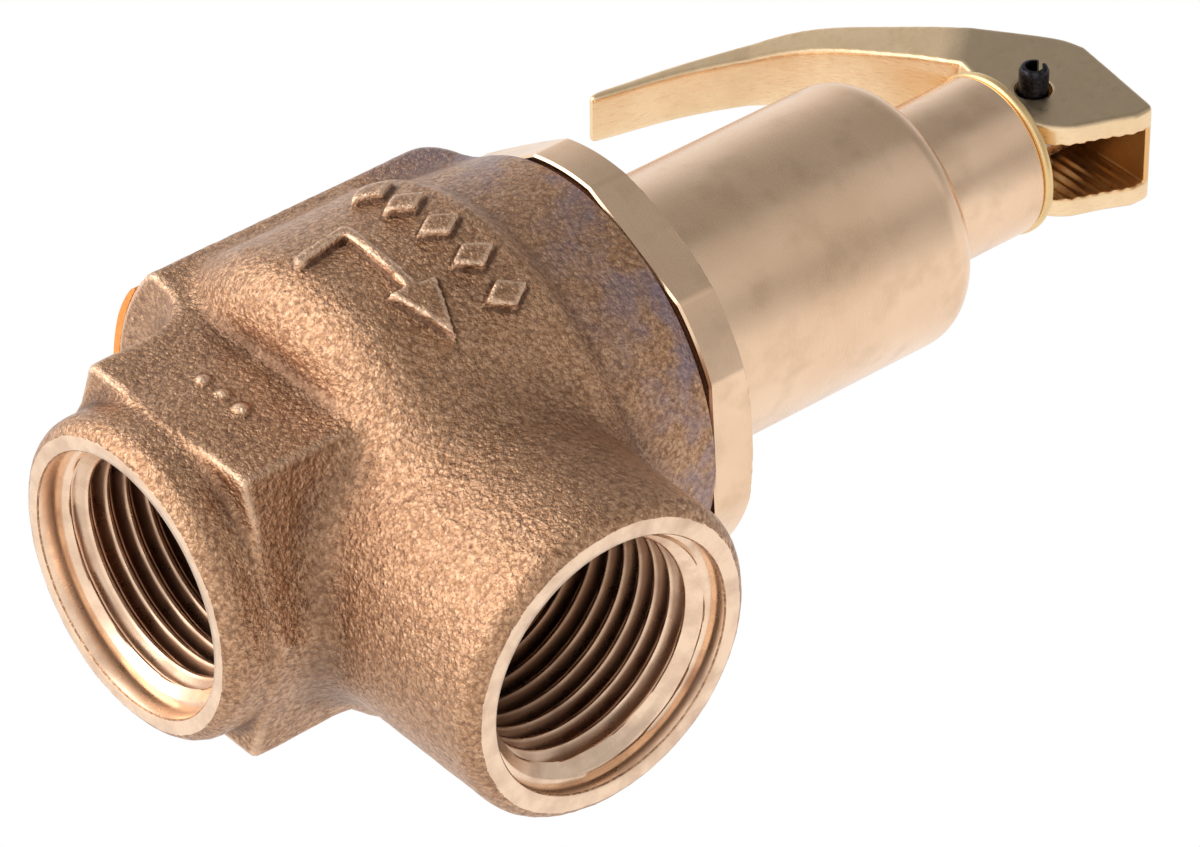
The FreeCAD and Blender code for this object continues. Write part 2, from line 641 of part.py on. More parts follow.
def lever():
    body = lever_profile().extrude(V(0, 2 * HEAD_HALF_WIDTH, 0)).common(lever_plan())
    hole = cross_rod(CHEEK_HOLE_R, -2 * HEAD_HALF_WIDTH, 2 * HEAD_HALF_WIDTH)
    return body.cut(lever_slot()).cut(hole)


NODES = {
    "valve_body": valve_body,
    "rear_label": rear_label,
    "seat_ring": seat_ring,
    "disc_seal": disc_seal,
    "seal_retainer": seal_retainer,
    "seal_screw": seal_screw,
    "valve_disc": valve_disc,
    "spindle_clip": spindle_clip,
    "spindle": spindle,
    "guide_plate": guide_plate,
    "stem_seal": stem_seal,
    "lower_spring_plate": lower_spring_plate,
    "main_spring": main_spring,
    "upper_spring_plate": upper_spring_plate,
    "bonnet_gasket": bonnet_gasket,
    "bonnet": bonnet,
    "adjusting_screw": adjusting_screw,
    "spindle_bush": spindle_bush,
    "lock_nut": lock_nut,
    "thrust_washer": thrust_washer,
    "lever": lever,
    "lever_pin": lever_pin,
}


def main():
    os.makedirs("parts", exist_ok=True)
    for name, make in NODES.items():
        shape = make()
        solids = shape.Solids
        print(f"{name}: {len(solids)} solid, {shape.Volume:.1f} mm3, valid {shape.isValid()}")
        shape.exportStep(f"parts/{name}.step")


main()
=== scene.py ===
"""Looks of an angle-pattern pressure relief valve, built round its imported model.

Shapes are worked out in millimetres in the valve's own frame: the origin is the centre of the
inlet's face, +Z runs up the valve's axis and +X points out of the side outlet. They become
metres only when a mesh is made.
The casting and the lever are smooth unions of simple forms, meshed from a distance field; the
casting's ports and bores are then cut with threaded tools. The rest is turned or swept.
"""

import math

import bpy
import numpy as np
from mathutils import Matrix, Vector


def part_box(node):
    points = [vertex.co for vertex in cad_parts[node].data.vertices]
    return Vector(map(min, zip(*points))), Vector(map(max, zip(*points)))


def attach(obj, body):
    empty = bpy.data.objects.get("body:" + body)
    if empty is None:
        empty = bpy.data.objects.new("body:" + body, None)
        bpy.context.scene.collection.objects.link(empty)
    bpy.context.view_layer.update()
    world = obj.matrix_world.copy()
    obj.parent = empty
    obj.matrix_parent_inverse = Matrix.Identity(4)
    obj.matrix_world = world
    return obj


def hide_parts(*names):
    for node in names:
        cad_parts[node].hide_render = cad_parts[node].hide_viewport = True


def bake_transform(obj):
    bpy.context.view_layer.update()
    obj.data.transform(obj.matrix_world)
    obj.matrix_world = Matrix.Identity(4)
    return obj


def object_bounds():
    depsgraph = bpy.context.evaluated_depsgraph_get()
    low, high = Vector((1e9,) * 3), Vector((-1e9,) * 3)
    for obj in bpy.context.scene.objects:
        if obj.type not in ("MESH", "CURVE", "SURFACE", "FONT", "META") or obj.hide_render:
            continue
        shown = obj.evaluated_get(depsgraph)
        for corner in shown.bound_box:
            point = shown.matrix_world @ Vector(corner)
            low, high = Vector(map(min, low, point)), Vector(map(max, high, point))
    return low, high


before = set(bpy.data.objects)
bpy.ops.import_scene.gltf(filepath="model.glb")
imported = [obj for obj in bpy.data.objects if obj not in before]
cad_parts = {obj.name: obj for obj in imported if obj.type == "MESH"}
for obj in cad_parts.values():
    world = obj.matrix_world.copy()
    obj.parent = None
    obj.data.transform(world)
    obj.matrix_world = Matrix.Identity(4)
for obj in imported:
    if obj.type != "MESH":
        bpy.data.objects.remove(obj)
cad_low, cad_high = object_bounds()

MM = 0.001
ROOT = "housing"


def box_mm(node):
    """A CAD node's lowest and highest corners, in millimetres."""
    low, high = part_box(node)
    return low / MM, high / MM


# ---------------------------------------------------------------- sizes, in millimetres

body_low, body_high = box_mm("valve_body")
bonnet_low, bonnet_high = box_mm("bonnet")
lever_low, lever_high = box_mm("lever")
washer_low, washer_high = box_mm("thrust_washer")
gasket_low, gasket_high = box_mm("bonnet_gasket")
spring_low, spring_high = box_mm("main_spring")
label_low, label_high = box_mm("rear_label")
pin_low, pin_high = box_mm("lever_pin")

BODY_TOP = body_high.z
BARREL_R = body_high.y
OUTLET_FACE = body_high.x
REAR_R = -body_low.x
OUTLET_Z = 22.0

THREAD_PITCH = 1.814
THREAD_CREST_R = 9.32
THREAD_ROOT_R = 10.48
COUNTERBORE_R = 11.0
INLET_COUNTERBORE = 1.9
OUTLET_COUNTERBORE = 1.3
THREAD_CHAMFER_R = 10.5
THREAD_FLAT = 0.12  # share of the wave that is a flat crest
THREAD_FLANK = 0.8  # share of it that is a flank
THREAD_STEPS = 18
THREAD_FADE = 1.2  # the last of the thread runs out over this length
FACING_R = 17.0
MOUTH_BREAK = 0.12
TOOL_SEGMENTS = 144

INLET_THREAD_END = 12.0
OUTLET_THREAD_END = 14.2  # from the valve's axis
OUTLET_BORE_END = 11.0
NOZZLE_R = 6.9
SEAT_POCKET = (8.0, 14.2)  # radius, floor
CHAMBER_FLOOR = 17.5
CHAMBER_R = 14.0
CHAMBER_BREAK = 0.8
GUIDE_POCKET = (15.0, 35.0)
BONNET_THREAD = (15.5, 37.6)
TOP_FACING_R = 25.0
TOP_STOCK = 0.6
TOP_BREAK = 0.4

COLLAR_R = 13.4
BOSS_R = 13.7
RIM_ROUND = 2.2
FACING_STOCK = 0.35  # cast metal that the facing cuts take off
FLAT_Y = 13.4
WRENCH_Z = (4.3, 15.6)
WRENCH_CORNER_X = 9.6
WRENCH_SIDE_X = 13.9
BARREL_Z = 15.0
BARREL_ROUND = 5.2
BARREL_RIM_Z = 33.4
BAND_R = 18.7
BODY_TOP_R = 17.75
REAR_Z = 14.8
REAR_ROUND = 3.5
BLOCK_FILLET = 5.5
BLOCK_EDGE = 0.6
REAR_FOOT_EDGE = 0.4
BAND_STEP = 1.9
TOP_TAPER_Z = 35.0
COLLAR_FILLET = 1.0
BARREL_FILLET = 1.1
BOSS_FILLET = 3.0
MARK_EDGE = 0.15

PIN_Z = 92.5
PIN_R = 1.25


# ---------------------------------------------------------------- meshes from distance fields

def open_grid(low, high, step):
    """Coordinates of a regular grid, one array for each axis, ready to broadcast."""
    axes = [np.arange(a, b + step, step, dtype=np.float32) for a, b in zip(low, high)]
    return np.meshgrid(*axes, indexing="ij", sparse=True)


def union(a, b, blend):
    """Both forms, with a fillet of about the blend's size where they meet."""
    near = np.maximum(blend - np.abs(a - b), 0) / blend
    return np.minimum(a, b) - near * near * blend / 4


def overlap(a, b, blend):
    """What both forms share, with its new edges rounded."""
    return -union(-a, -b, blend)


def round_bar(across, along, radius, low, high, edge):
    """A bar round an axis, with its two rims rounded."""
    out = across - (radius - edge)
    end = np.abs(along - (low + high) / 2) - ((high - low) / 2 - edge)
    beyond = np.hypot(np.maximum(out, 0), np.maximum(end, 0))
    return np.minimum(np.maximum(out, end), 0) + beyond - edge


def smooth_step(low, high, value):
    t = np.clip((value - low) / (high - low), 0, 1)
    return t * t * (3 - 2 * t)


def surface_net(field, low, step):
    """Vertices and quads of the surface where a field on a grid passes zero, facing outwards."""
    inside = field < 0
    cells = tuple(n - 1 for n in field.shape)
    corner = {}
    for offset in np.ndindex(2, 2, 2):
        corner[offset] = tuple(slice(o, o + c) for o, c in zip(offset, cells))
    count = sum(inside[c].astype(np.int8) for c in corner.values())
    active = (count > 0) & (count < 8)
    where = np.argwhere(active)
    index = np.full(cells, -1, np.int64)
    index[active] = np.arange(len(where))
    total = np.zeros((len(where), 3))
    crossings = np.zeros(len(where))
    for axis in range(3):
        for start in np.ndindex(2, 2, 2):
            if start[axis]:
                continue
            end = tuple(o + (i == axis) for i, o in enumerate(start))
            a = field[tuple((where + start).T)].astype(float)
            b = field[tuple((where + end).T)].astype(float)
            crossed = (a < 0) != (b < 0)
            share = np.where(crossed, a / np.where(crossed, a - b, 1), 0)
            point = np.array(start, float) + np.outer(share, np.eye(3)[axis])
            total += point * crossed[:, None]
            crossings += crossed
    vertices = (where + total / crossings[:, None]) * step + np.array(low, float)
    quads = []
    for axis in range(3):
        u, v = (axis + 1) % 3, (axis + 2) % 3
        low_end = [slice(1, -1)] * 3
        low_end[axis] = slice(0, -1)
        high_end = list(low_end)
        high_end[axis] = slice(1, None)
        a, b = inside[tuple(low_end)], inside[tuple(high_end)]
        for flip, crossed in ((False, a & ~b), (True, b & ~a)):
            at = np.argwhere(crossed)
            at[:, [u, v]] += 1
            ring = []
            for du, dv in ((-1, -1), (0, -1), (0, 0), (-1, 0)):
                cell = at.copy()
                cell[:, u] += du
                cell[:, v] += dv
                ring.append(index[tuple(cell.T)])
            quads.append(np.stack(ring[::-1] if flip else ring, axis=1))
    return vertices, np.concatenate(quads)


def vertex_normals(vertices, quads):
    a, b, c, d = (vertices[quads[:, i]] for i in range(4))
    face = np.cross(c - a, d - b)
    normals = np.zeros_like(vertices)
    for column in quads.T:
        for axis in range(3):
            normals[:, axis] += np.bincount(column, face[:, axis], len(vertices))
    return normals / np.linalg.norm(normals, axis=1)[:, None]


def value_noise(points, cell, seed):
    """Smooth noise from 0 to 1 with the given cell size, the same on every run."""
    size = 64
    table = np.random.default_rng(seed).random((size, size, size))
    scaled = points / cell
    base = np.floor(scaled).astype(int)
    f = scaled - base
    f = f * f * (3 - 2 * f)
    result = np.zeros(len(points))
    for offset in np.ndindex(2, 2, 2):
        weight = np.ones(len(points))
        for axis, o in enumerate(offset):
            weight *= f[:, axis] if o else 1 - f[:, axis]
        result += weight * table[tuple(((base + offset) % size).T)]
    return result


def roughen(vertices, quads, layers):
    """Sinks a surface by layers of noise, each (cell, depth), as a sand mould leaves it."""
    normals = vertex_normals(vertices, quads)
    depth = np.zeros(len(vertices))
    for seed, (cell, amount) in enumerate(layers):
        depth += amount * value_noise(vertices, cell, seed)
    return vertices - normals * depth[:, None]


# ---------------------------------------------------------------- objects

def mesh_object(name, vertices, faces, smooth_below=35.0):
    """A shaded object from millimetre vertices; edges sharper than the angle stay crisp."""
    mesh = bpy.data.meshes.new(name)
    mesh.from_pydata((np.asarray(vertices) * MM).tolist(), [], [list(f) for f in faces])
    mesh.validate()
    shade(mesh, smooth_below)
    piece = bpy.data.objects.new(name, mesh)
    bpy.context.scene.collection.objects.link(piece)
    return piece


def shade(mesh, smooth_below):
    mesh.shade_smooth()
    mesh.set_sharp_from_angle(angle=math.radians(smooth_below))
    mesh.update()


def cut(piece, tool):
    """Takes the tool out of the piece and throws the tool away."""
    step = piece.modifiers.new("cut", "BOOLEAN")
    step.operation = "DIFFERENCE"
    step.solver = "MANIFOLD"
    step.object = tool
    apply_modifiers(piece)
    bpy.data.objects.remove(tool)


def apply_modifiers(piece):
    graph = bpy.context.evaluated_depsgraph_get()
    finished = bpy.data.meshes.new_from_object(piece.evaluated_get(graph))
    piece.modifiers.clear()
    piece.data = finished


def place(piece, body, slot, material, *nodes):
    """Gives a piece its body, its look, and the CAD nodes that it stands for. The slot argument is not
    used.
    """
    if material is not None:
        piece.data.materials.clear()
        piece.data.materials.append(material)
    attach(piece, body)
    if nodes:
        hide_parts(*nodes)
    return piece


# ---------------------------------------------------------------- turned shapes

def rounded(outline, radius, points=4):
    """The outline with each corner replaced by an arc. A corner (r, z, own radius) has its own."""
    result = []
    count = len(outline)
    for i, corner in enumerate(outline):
        here = np.array(corner[:2], float)
        before = np.array(outline[i - 1][:2], float) - here
        after = np.array(outline[(i + 1) % count][:2], float) - here
        size = corner[2] if len(corner) > 2 else radius
        a, b = (v / np.linalg.norm(v) for v in (before, after))
        half = math.acos(max(-1, min(1, float(a @ b)))) / 2
        reach = size / math.tan(half) if half < math.pi / 2 - 1e-3 else 0
        reach = min(reach, 0.45 * np.linalg.norm(before), 0.45 * np.linalg.norm(after))
        if size == 0 or reach < 1e-4:
            result.append(tuple(here))
            continue
        for step in range(points + 1):
            t = step / points
            start = (1 - t) ** 2 * (here + a * reach)
            end = t * t * (here + b * reach)
            result.append(tuple(start + 2 * t * (1 - t) * here + end))
    return result


def ring_mesh(rings, angles, capped=False):
    """Vertices and faces of rings about +Z. A ring is (radii, height), one radius for each angle.
    The rings close on themselves, or are capped at both ends."""
    cosine, sine = np.cos(angles), np.sin(angles)
    count = len(angles)
    vertices = [np.stack([r * cosine, r * sine, np.broadcast_to(z, count)], axis=1) for r, z in rings]
    vertices = np.concatenate(vertices)
    total = len(rings)
    spans = total - 1 if capped else total
    here = np.arange(count)
    after = (here + 1) % count
    faces = []
    for i in range(spans):
        a, b = i * count, ((i + 1) % total) * count
        faces.append(np.stack([a + here, a + after, b + after, b + here], axis=1))
    faces = np.concatenate(faces).tolist()
    if capped:
        faces.append(list(range(count))[::-1])
        faces.append([(total - 1) * count + i for i in range(count)])
    return vertices, faces


def even_angles(count):
    return np.arange(count) * 2 * math.pi / count


def turned(name, outline, count=128, smooth_below=35.0):
    """A solid turned from a closed outline of (radius, height), listed with height rising outside."""
    angles = even_angles(count)
    rings = [(np.full(count, r), z) for r, z in outline]
    vertices, faces = ring_mesh(rings, angles)
    return mesh_object(name, vertices, faces, smooth_below)


# ---------------------------------------------------------------- casting

ARROW = ((-2.4, 19.3), (-3.5, 24.4), (5.0, 24.1))  # round the barrel from -Y, and height
ARROW_HEAD = ((4.6, 21.9), (10.4, 24.3), (5.0, 26.5))
ARROW_WIDTH = 1.15
RELIEF = -body_low.y - BARREL_R
LOZENGE_ANGLES = (-22, -10, 2, 14, 26)
LOZENGE_Z = 30.2
LOZENGE_HALF = (1.45, 2.2)
PIP_X = (-2.0, 0.3, 2.6)
PIP_Z = 9.6
PIP_R = 0.95
PIP_SINK = 0.35
PIP_FILLET = 0.12


def segment_distance(u, w, start, end):
    du, dw = end[0] - start[0], end[1] - start[1]
    t = np.clip(((u - start[0]) * du + (w - start[1]) * dw) / (du * du + dw * dw), 0, 1)
    return np.hypot(u - start[0] - t * du, w - start[1] - t * dw)


def triangle_distance(u, w, corners):
    """Signed distance to the sides' lines of a triangle listed anticlockwise."""
    result = None
    for a, b in zip(corners, corners[1:] + corners[:1]):
        length = math.hypot(b[0] - a[0], b[1] - a[1])
        side = ((u - a[0]) * (b[1] - a[1]) - (w - a[1]) * (b[0] - a[0])) / length
        result = side if result is None else np.maximum(result, side)
    return result


def relief_outline(u, w):
    """Flat shape of the raised marks: a flow arrow that turns to the outlet, and a row of lozenges."""
    stroke = ARROW_WIDTH / 2
    marks = segment_distance(u, w, ARROW[0], ARROW[1]) - stroke
    marks = np.minimum(marks, segment_distance(u, w, ARROW[1], ARROW[2]) - stroke)
    marks = np.minimum(marks, triangle_distance(u, w, list(ARROW_HEAD)))
    wide, tall = LOZENGE_HALF
    for angle in LOZENGE_ANGLES:
        centre = math.radians(angle) * BARREL_R
        reach = np.abs(u - centre) / wide + np.abs(w - LOZENGE_Z) / tall - 1
        marks = np.minimum(marks, reach * wide * tall / math.hypot(wide, tall))
    return marks


def casting_field(x, y, z):
    """Distance field of the casting's outside, before any machining."""
    radius = np.hypot(x, y)
    collar = round_bar(radius, z, COLLAR_R, -FACING_STOCK, WRENCH_Z[1], RIM_ROUND)
    lean = math.hypot(FLAT_Y, WRENCH_SIDE_X - WRENCH_CORNER_X)
    side = FLAT_Y * (np.abs(x) - WRENCH_SIDE_X) + (WRENCH_SIDE_X - WRENCH_CORNER_X) * np.abs(y)
    side = side / lean
    wrench = overlap(np.maximum(side, z - WRENCH_Z[1]), WRENCH_Z[0] - z, BLOCK_EDGE)
    rear = round_bar(radius, z, REAR_R, REAR_Z, BODY_TOP + 2 * REAR_ROUND, REAR_FOOT_EDGE)
    shoulder = round_bar(radius, z, REAR_R, REAR_Z - 20, BODY_TOP + FACING_STOCK, REAR_ROUND)
    rear = np.maximum(np.maximum(rear, shoulder), x)
    block = overlap(union(wrench, rear, BLOCK_FILLET), np.abs(y) - FLAT_Y, BLOCK_EDGE)
    step = smooth_step(BARREL_RIM_Z, BARREL_RIM_Z + BAND_STEP, z)
    taper = np.clip((z - TOP_TAPER_Z) / (BODY_TOP - TOP_TAPER_Z), 0, 1.1)
    limit = BARREL_R - (BARREL_R - BAND_R) * step - (BAND_R - BODY_TOP_R) * taper
    barrel = round_bar(radius, z, BARREL_R, BARREL_Z, BODY_TOP + 12, BARREL_ROUND)
    barrel = np.maximum(barrel, radius - limit)
    across = np.hypot(y, z - OUTLET_Z)
    boss = round_bar(across, x, BOSS_R, -OUTLET_FACE, OUTLET_FACE + FACING_STOCK, RIM_ROUND)
    boss = np.maximum(boss, -x)
    body = union(collar, block, COLLAR_FILLET)
    body = union(body, barrel, BARREL_FILLET)
    body = union(body, boss, BOSS_FILLET)
    around = np.arctan2(x, -y) * BARREL_R
    marks = overlap(relief_outline(around, z), radius - (BARREL_R + RELIEF), MARK_EDGE)
    marks = np.maximum(marks, y)
    body = union(body, marks, MARK_EDGE)
    pip_y = PIP_SINK - FLAT_Y
    for pip_x in PIP_X:
        pip = np.sqrt((x - pip_x) ** 2 + (z - PIP_Z) ** 2 + (y - pip_y) ** 2) - PIP_R
        body = union(body, pip, PIP_FILLET)
    return np.maximum(body, z - (BODY_TOP + TOP_STOCK))


def thread_radius(angle, along):
    """Radius of a female thread's wall: narrow flat crests and roots, one turn for each pitch."""
    phase = (along / THREAD_PITCH + angle / (2 * math.pi)) % 1.0
    wave = np.abs(2 * phase - 1)
    shape = np.clip((wave - THREAD_FLAT) / THREAD_FLANK, 0, 1)
    return THREAD_CREST_R + (THREAD_ROOT_R - THREAD_CREST_R) * shape


def port_rings(depth, end, angles):
    """Rings of a port's cutter from its face inwards: facing cut, counterbore, thread."""
    flat = np.full(len(angles), 1.0)
    rings = [(flat * FACING_R, -2.0), (flat * FACING_R, 0.0),
             (flat * (COUNTERBORE_R + MOUTH_BREAK), 0.0), (flat * COUNTERBORE_R, MOUTH_BREAK),
             (flat * COUNTERBORE_R, depth)]
    steps = int((end - depth) / THREAD_PITCH * THREAD_STEPS)
    for i in range(steps + 1):
        along = depth + (end - depth) * i / steps
        thread = thread_radius(angles, along)
        fade = smooth_step(end - THREAD_FADE, end - THREAD_FADE + 1.0, along)
        thread = thread * (1 - fade) + THREAD_CREST_R * fade
        cone = THREAD_CHAMFER_R - (along - depth)
        rings.append((np.maximum(thread, cone), along))
    return rings


def main_tool():
    """Cuts the inlet, the seat's pocket, the chamber and the top, all about the valve's axis."""
    angles = even_angles(TOOL_SEGMENTS)
    flat = np.full(len(angles), 1.0)
    rings = port_rings(INLET_COUNTERBORE, INLET_THREAD_END, angles)
    pocket_r, pocket_z = SEAT_POCKET
    guide_r, guide_z = GUIDE_POCKET
    top_r, top_z = BONNET_THREAD
    steps = ((NOZZLE_R, INLET_THREAD_END + 1), (NOZZLE_R, pocket_z), (pocket_r, pocket_z),
             (pocket_r, CHAMBER_FLOOR), (CHAMBER_R - CHAMBER_BREAK, CHAMBER_FLOOR),
             (CHAMBER_R, CHAMBER_FLOOR + CHAMBER_BREAK), (CHAMBER_R, guide_z), (guide_r, guide_z),
             (guide_r, top_z), (top_r, top_z), (top_r, BODY_TOP - TOP_BREAK),
             (top_r + TOP_BREAK, BODY_TOP), (TOP_FACING_R, BODY_TOP), (TOP_FACING_R, BODY_TOP + 3))
    rings += [(flat * r, z) for r, z in steps]
    vertices, faces = ring_mesh(rings, angles, capped=True)
    return mesh_object("main_tool", vertices, faces)


def outlet_tool():
    """Cuts the outlet, from its face in to the chamber."""
    angles = even_angles(TOOL_SEGMENTS)
    rings = port_rings(OUTLET_COUNTERBORE, OUTLET_FACE - OUTLET_THREAD_END, angles)
    rings.append((np.full(len(angles), THREAD_CREST_R), OUTLET_FACE - OUTLET_BORE_END))
    vertices, faces = ring_mesh(rings, angles, capped=True)
    x, y, z = vertices.T
    placed = np.stack([OUTLET_FACE - z, y, OUTLET_Z + x], axis=1)
    return mesh_object("outlet_tool", placed, faces)


CAST_LAYERS = ((0.6, 0.04), (1.3, 0.04), (7.0, 0.10))
CASTING_STEP = 0.30
CASTING_MARGIN = 1.2
CAST_SMOOTH_BELOW = 62
CREASE_REACH = 0.5
CREASE_FULL = 0.25
HOLLOW_REACH = 3.5
HOLLOW_FULL = 0.9


def casting_material_index(mesh):
    """0 for cast skin, 1 for machined metal."""
    count = len(mesh.polygons)
    centre = np.zeros(count * 3)
    mesh.polygons.foreach_get("center", centre)
    x, y, z = (centre.reshape(-1, 3) / MM).T
    depth = casting_field(x, y, z)
    faced = (np.abs(z) < 0.01) | (np.abs(x - OUTLET_FACE) < 0.01) | (np.abs(z - BODY_TOP) < 0.01)
    radius = np.hypot(x, y)
    cored = (radius < CHAMBER_R + 0.3) & (z > INLET_THREAD_END + 0.5) & (z < GUIDE_POCKET[1] + 0.2)
    bored = radius < np.where(z < REAR_Z, COUNTERBORE_R, BODY_TOP_R - 0.5) + 0.2
    bored |= np.hypot(y, z - OUTLET_Z) < COUNTERBORE_R + 0.2
    machined = faced | ((depth < -0.5) & bored & ~cored)
    mesh.polygons.foreach_set("material_index", machined.astype(np.int32))


def keep_values(mesh, name, values):
    layer = mesh.attributes.new(name, "FLOAT", "POINT")
    layer.data.foreach_set("value", values.astype(np.float32))


def bend(x, y, z, reach):
    """How the cast skin bends about these points: over 0 on edges and under 0 in hollows."""
    result = -casting_field(x, y, z)
    for axis in range(3):
        for step in (-reach, reach):
            shifted = [x, y, z]
            shifted[axis] = shifted[axis] + step
            result += casting_field(*shifted) / 6
    return result


def describe_skin(mesh):
    """Keep four values on each vertex for the materials, which place painted highlights and painted
    shade by them.

    "crease" is how the cast skin bends: 0.5 where flat, 1 on edges and 0 in hollows.
    "hollow" is 1 deep in a broad hollow and 0 elsewhere.
    "inside" is how far the vertex lies inside the nearer port's mouth, in millimetres.
    "groove" is its depth in that port's thread: 0 on the crests and 1 at the roots.
    """
    points = np.zeros(len(mesh.vertices) * 3)
    mesh.vertices.foreach_get("co", points)
    x, y, z = (points.reshape(-1, 3) / MM).T
    keep_values(mesh, "crease", np.clip(0.5 + bend(x, y, z, CREASE_REACH) / CREASE_FULL, 0, 1))
    keep_values(mesh, "hollow", np.clip(-bend(x, y, z, HOLLOW_REACH) / HOLLOW_FULL, 0, 1))
    below, behind = np.maximum(z, 0), np.maximum(OUTLET_FACE - x, 0)
    keep_values(mesh, "inside", np.minimum(below, behind))
    around = np.where(below < behind, np.hypot(x, y), np.hypot(y, z - OUTLET_Z))
    groove = (around - THREAD_CREST_R) / (THREAD_ROOT_R - THREAD_CREST_R)
    keep_values(mesh, "groove", np.clip(groove, 0, 1))


def build_casting():
    low = [c - CASTING_MARGIN for c in body_low]
    high = [c + CASTING_MARGIN for c in body_high]
    x, y, z = open_grid(low, high, CASTING_STEP)
    field = casting_field(x, y, z)
    vertices, quads = surface_net(field, low, CASTING_STEP)
    vertices = roughen(vertices, quads, CAST_LAYERS)
    piece = mesh_object("casting", vertices, quads, CAST_SMOOTH_BELOW)
    cut(piece, main_tool())
    cut(piece, outlet_tool())
    piece.data.materials.clear()
    piece.data.materials.append(cast_bronze())
    piece.data.materials.append(machined_bronze())
    casting_material_index(piece.data)
    describe_skin(piece.data)
    shade(piece.data, CAST_SMOOTH_BELOW)
    return place(piece, ROOT, "cast_bronze", None, "valve_body")


# ---------------------------------------------------------------- lever

HEAD_HALF = lever_high.y
SLOT_HALF = 2.7
SLOT_BACK_X = -4.6
SLOT_TOP_Z = 97.4
RIB_PITCH = 1.0
RIB_DEPTH = 0.16
HEEL_BASE = 3.85
HEEL_GAIN = 2.15
HEEL_SWEEP = math.radians(60)
ARM_OUT = Vector((-0.75, 0, -0.66)).normalized()
# Distance out along the arm from the pin, and half width there
ARM_TAPER = ((-16.0, 4.6), (6.0, 4.6), (24.0, 2.45), (40.0, 2.25))
# The arm's back from head to tip and its inner side from tip to head, as (x, z)
BACK = ((-1.8, 99.9), (-4.2, 99.1), (-8.2, 96.2), (-14.7, 91.1), (-20.6, 85.3), (-23.4, 77.0),
        (-25.3, 67.3))
INNER = ((-24.35, 66.3), (-22.0, 75.4), (-18.1, 83.0), (-11.4, 87.9), (-6.6, 90.4))
LEVER_STEP = 0.16
LEVER_INSET = 0.03
LEVER_EDGE = 0.5
LEVER_HOLE_R = 1.5
SLOT_EDGE = 0.25
HOLE_EDGE = 0.2
LEVER_LAYERS = ((2.5, 0.03), (9.0, 0.06))


def heel_point(turn):
    """The heel is an involute, so each degree of the lever gives the same lift."""
    reach = HEEL_BASE + HEEL_GAIN * turn
    x = reach * math.sin(turn) + HEEL_GAIN * math.cos(turn)
    z = -reach * math.cos(turn) + HEEL_GAIN * math.sin(turn)
    return x, PIN_Z + z


def through(points, per_span=6):
    """A smooth curve through points, as Catmull-Rom spans."""
    p = [np.array(q, float) for q in points]
    p = [2 * p[0] - p[1]] + p + [2 * p[-1] - p[-2]]
    result = []
    for a, b, c, d in zip(p, p[1:], p[2:], p[3:]):
        for step in range(per_span):
            t = step / per_span
            result.append(0.5 * (2 * b + (c - a) * t + (2 * a - 5 * b + 4 * c - d) * t * t
                                 + (3 * b - 3 * c + d - a) * t ** 3))
    result.append(p[-2])
    return [tuple(q) for q in result]


def lever_outline():
    heel = [heel_point(HEEL_SWEEP * step / 8) for step in range(9)]
    end = [(7.35, 93.9, 0.8), (8.4, 96.2, 0.8), (8.45, 98.3, 1.2)]
    tip = [(-25.25, 66.5), (-25.0, 66.15), (-24.65, 66.1)]
    foot = [(-4.2, 89.86), (-0.3, 89.0)]
    return rounded(heel + end + through(BACK) + tip + through(INNER) + foot, 0)


def polygon_distance(x, z, outline):
    """Signed distance from points on a plane to a closed outline, less than zero inside it."""
    nearest = np.full(np.broadcast(x, z).shape, 1e9)
    odd = np.zeros(nearest.shape, bool)
    for a, b in zip(outline, outline[1:] + outline[:1]):
        if math.dist(a, b) < 1e-9:
            continue
        nearest = np.minimum(nearest, segment_distance(x, z, a, b))
        if a[1] != b[1]:
            spans = (z < a[1]) != (z < b[1])
            crossing = a[0] + (z - a[1]) / (b[1] - a[1]) * (b[0] - a[0])
            odd ^= spans & (x < crossing)
    return np.where(odd, -nearest, nearest)


def lever_field(x, y, z):
    side = polygon_distance(x[:, 0, :], z[0, :, :], lever_outline())[:, None, :] + LEVER_INSET
    away = x * ARM_OUT.x + (z - PIN_Z) * ARM_OUT.z
    stations, halves = zip(*ARM_TAPER)
    half = np.interp(away, stations, halves)
    form = overlap(side, np.abs(y) - (half - LEVER_INSET), LEVER_EDGE)
    ribs = np.abs((z / RIB_PITCH) % 1.0 * 2 - 1)
    wall = np.abs(y) - (SLOT_HALF - RIB_DEPTH * ribs)
    slot = np.maximum(np.maximum(wall, SLOT_BACK_X - x), z - SLOT_TOP_Z)
    form = overlap(form, -slot, SLOT_EDGE)
    hole = LEVER_HOLE_R - np.hypot(x, z - PIN_Z)
    return overlap(form, hole + 0 * y, HOLE_EDGE)


def build_lever():
    low = [c - 3 * LEVER_STEP for c in lever_low]
    high = [c + 3 * LEVER_STEP for c in lever_high]
    x, y, z = open_grid(low, high, LEVER_STEP)
    field = lever_field(x, y, z)
    vertices, quads = surface_net(field, low, LEVER_STEP)
    vertices = roughen(vertices, quads, LEVER_LAYERS)
    piece = mesh_object("easing_lever", vertices, quads, 50)
    return place(piece, "lever", "lever_brass", pressed_brass(), "lever")


# ---------------------------------------------------------------- bonnet, washer, pin, label

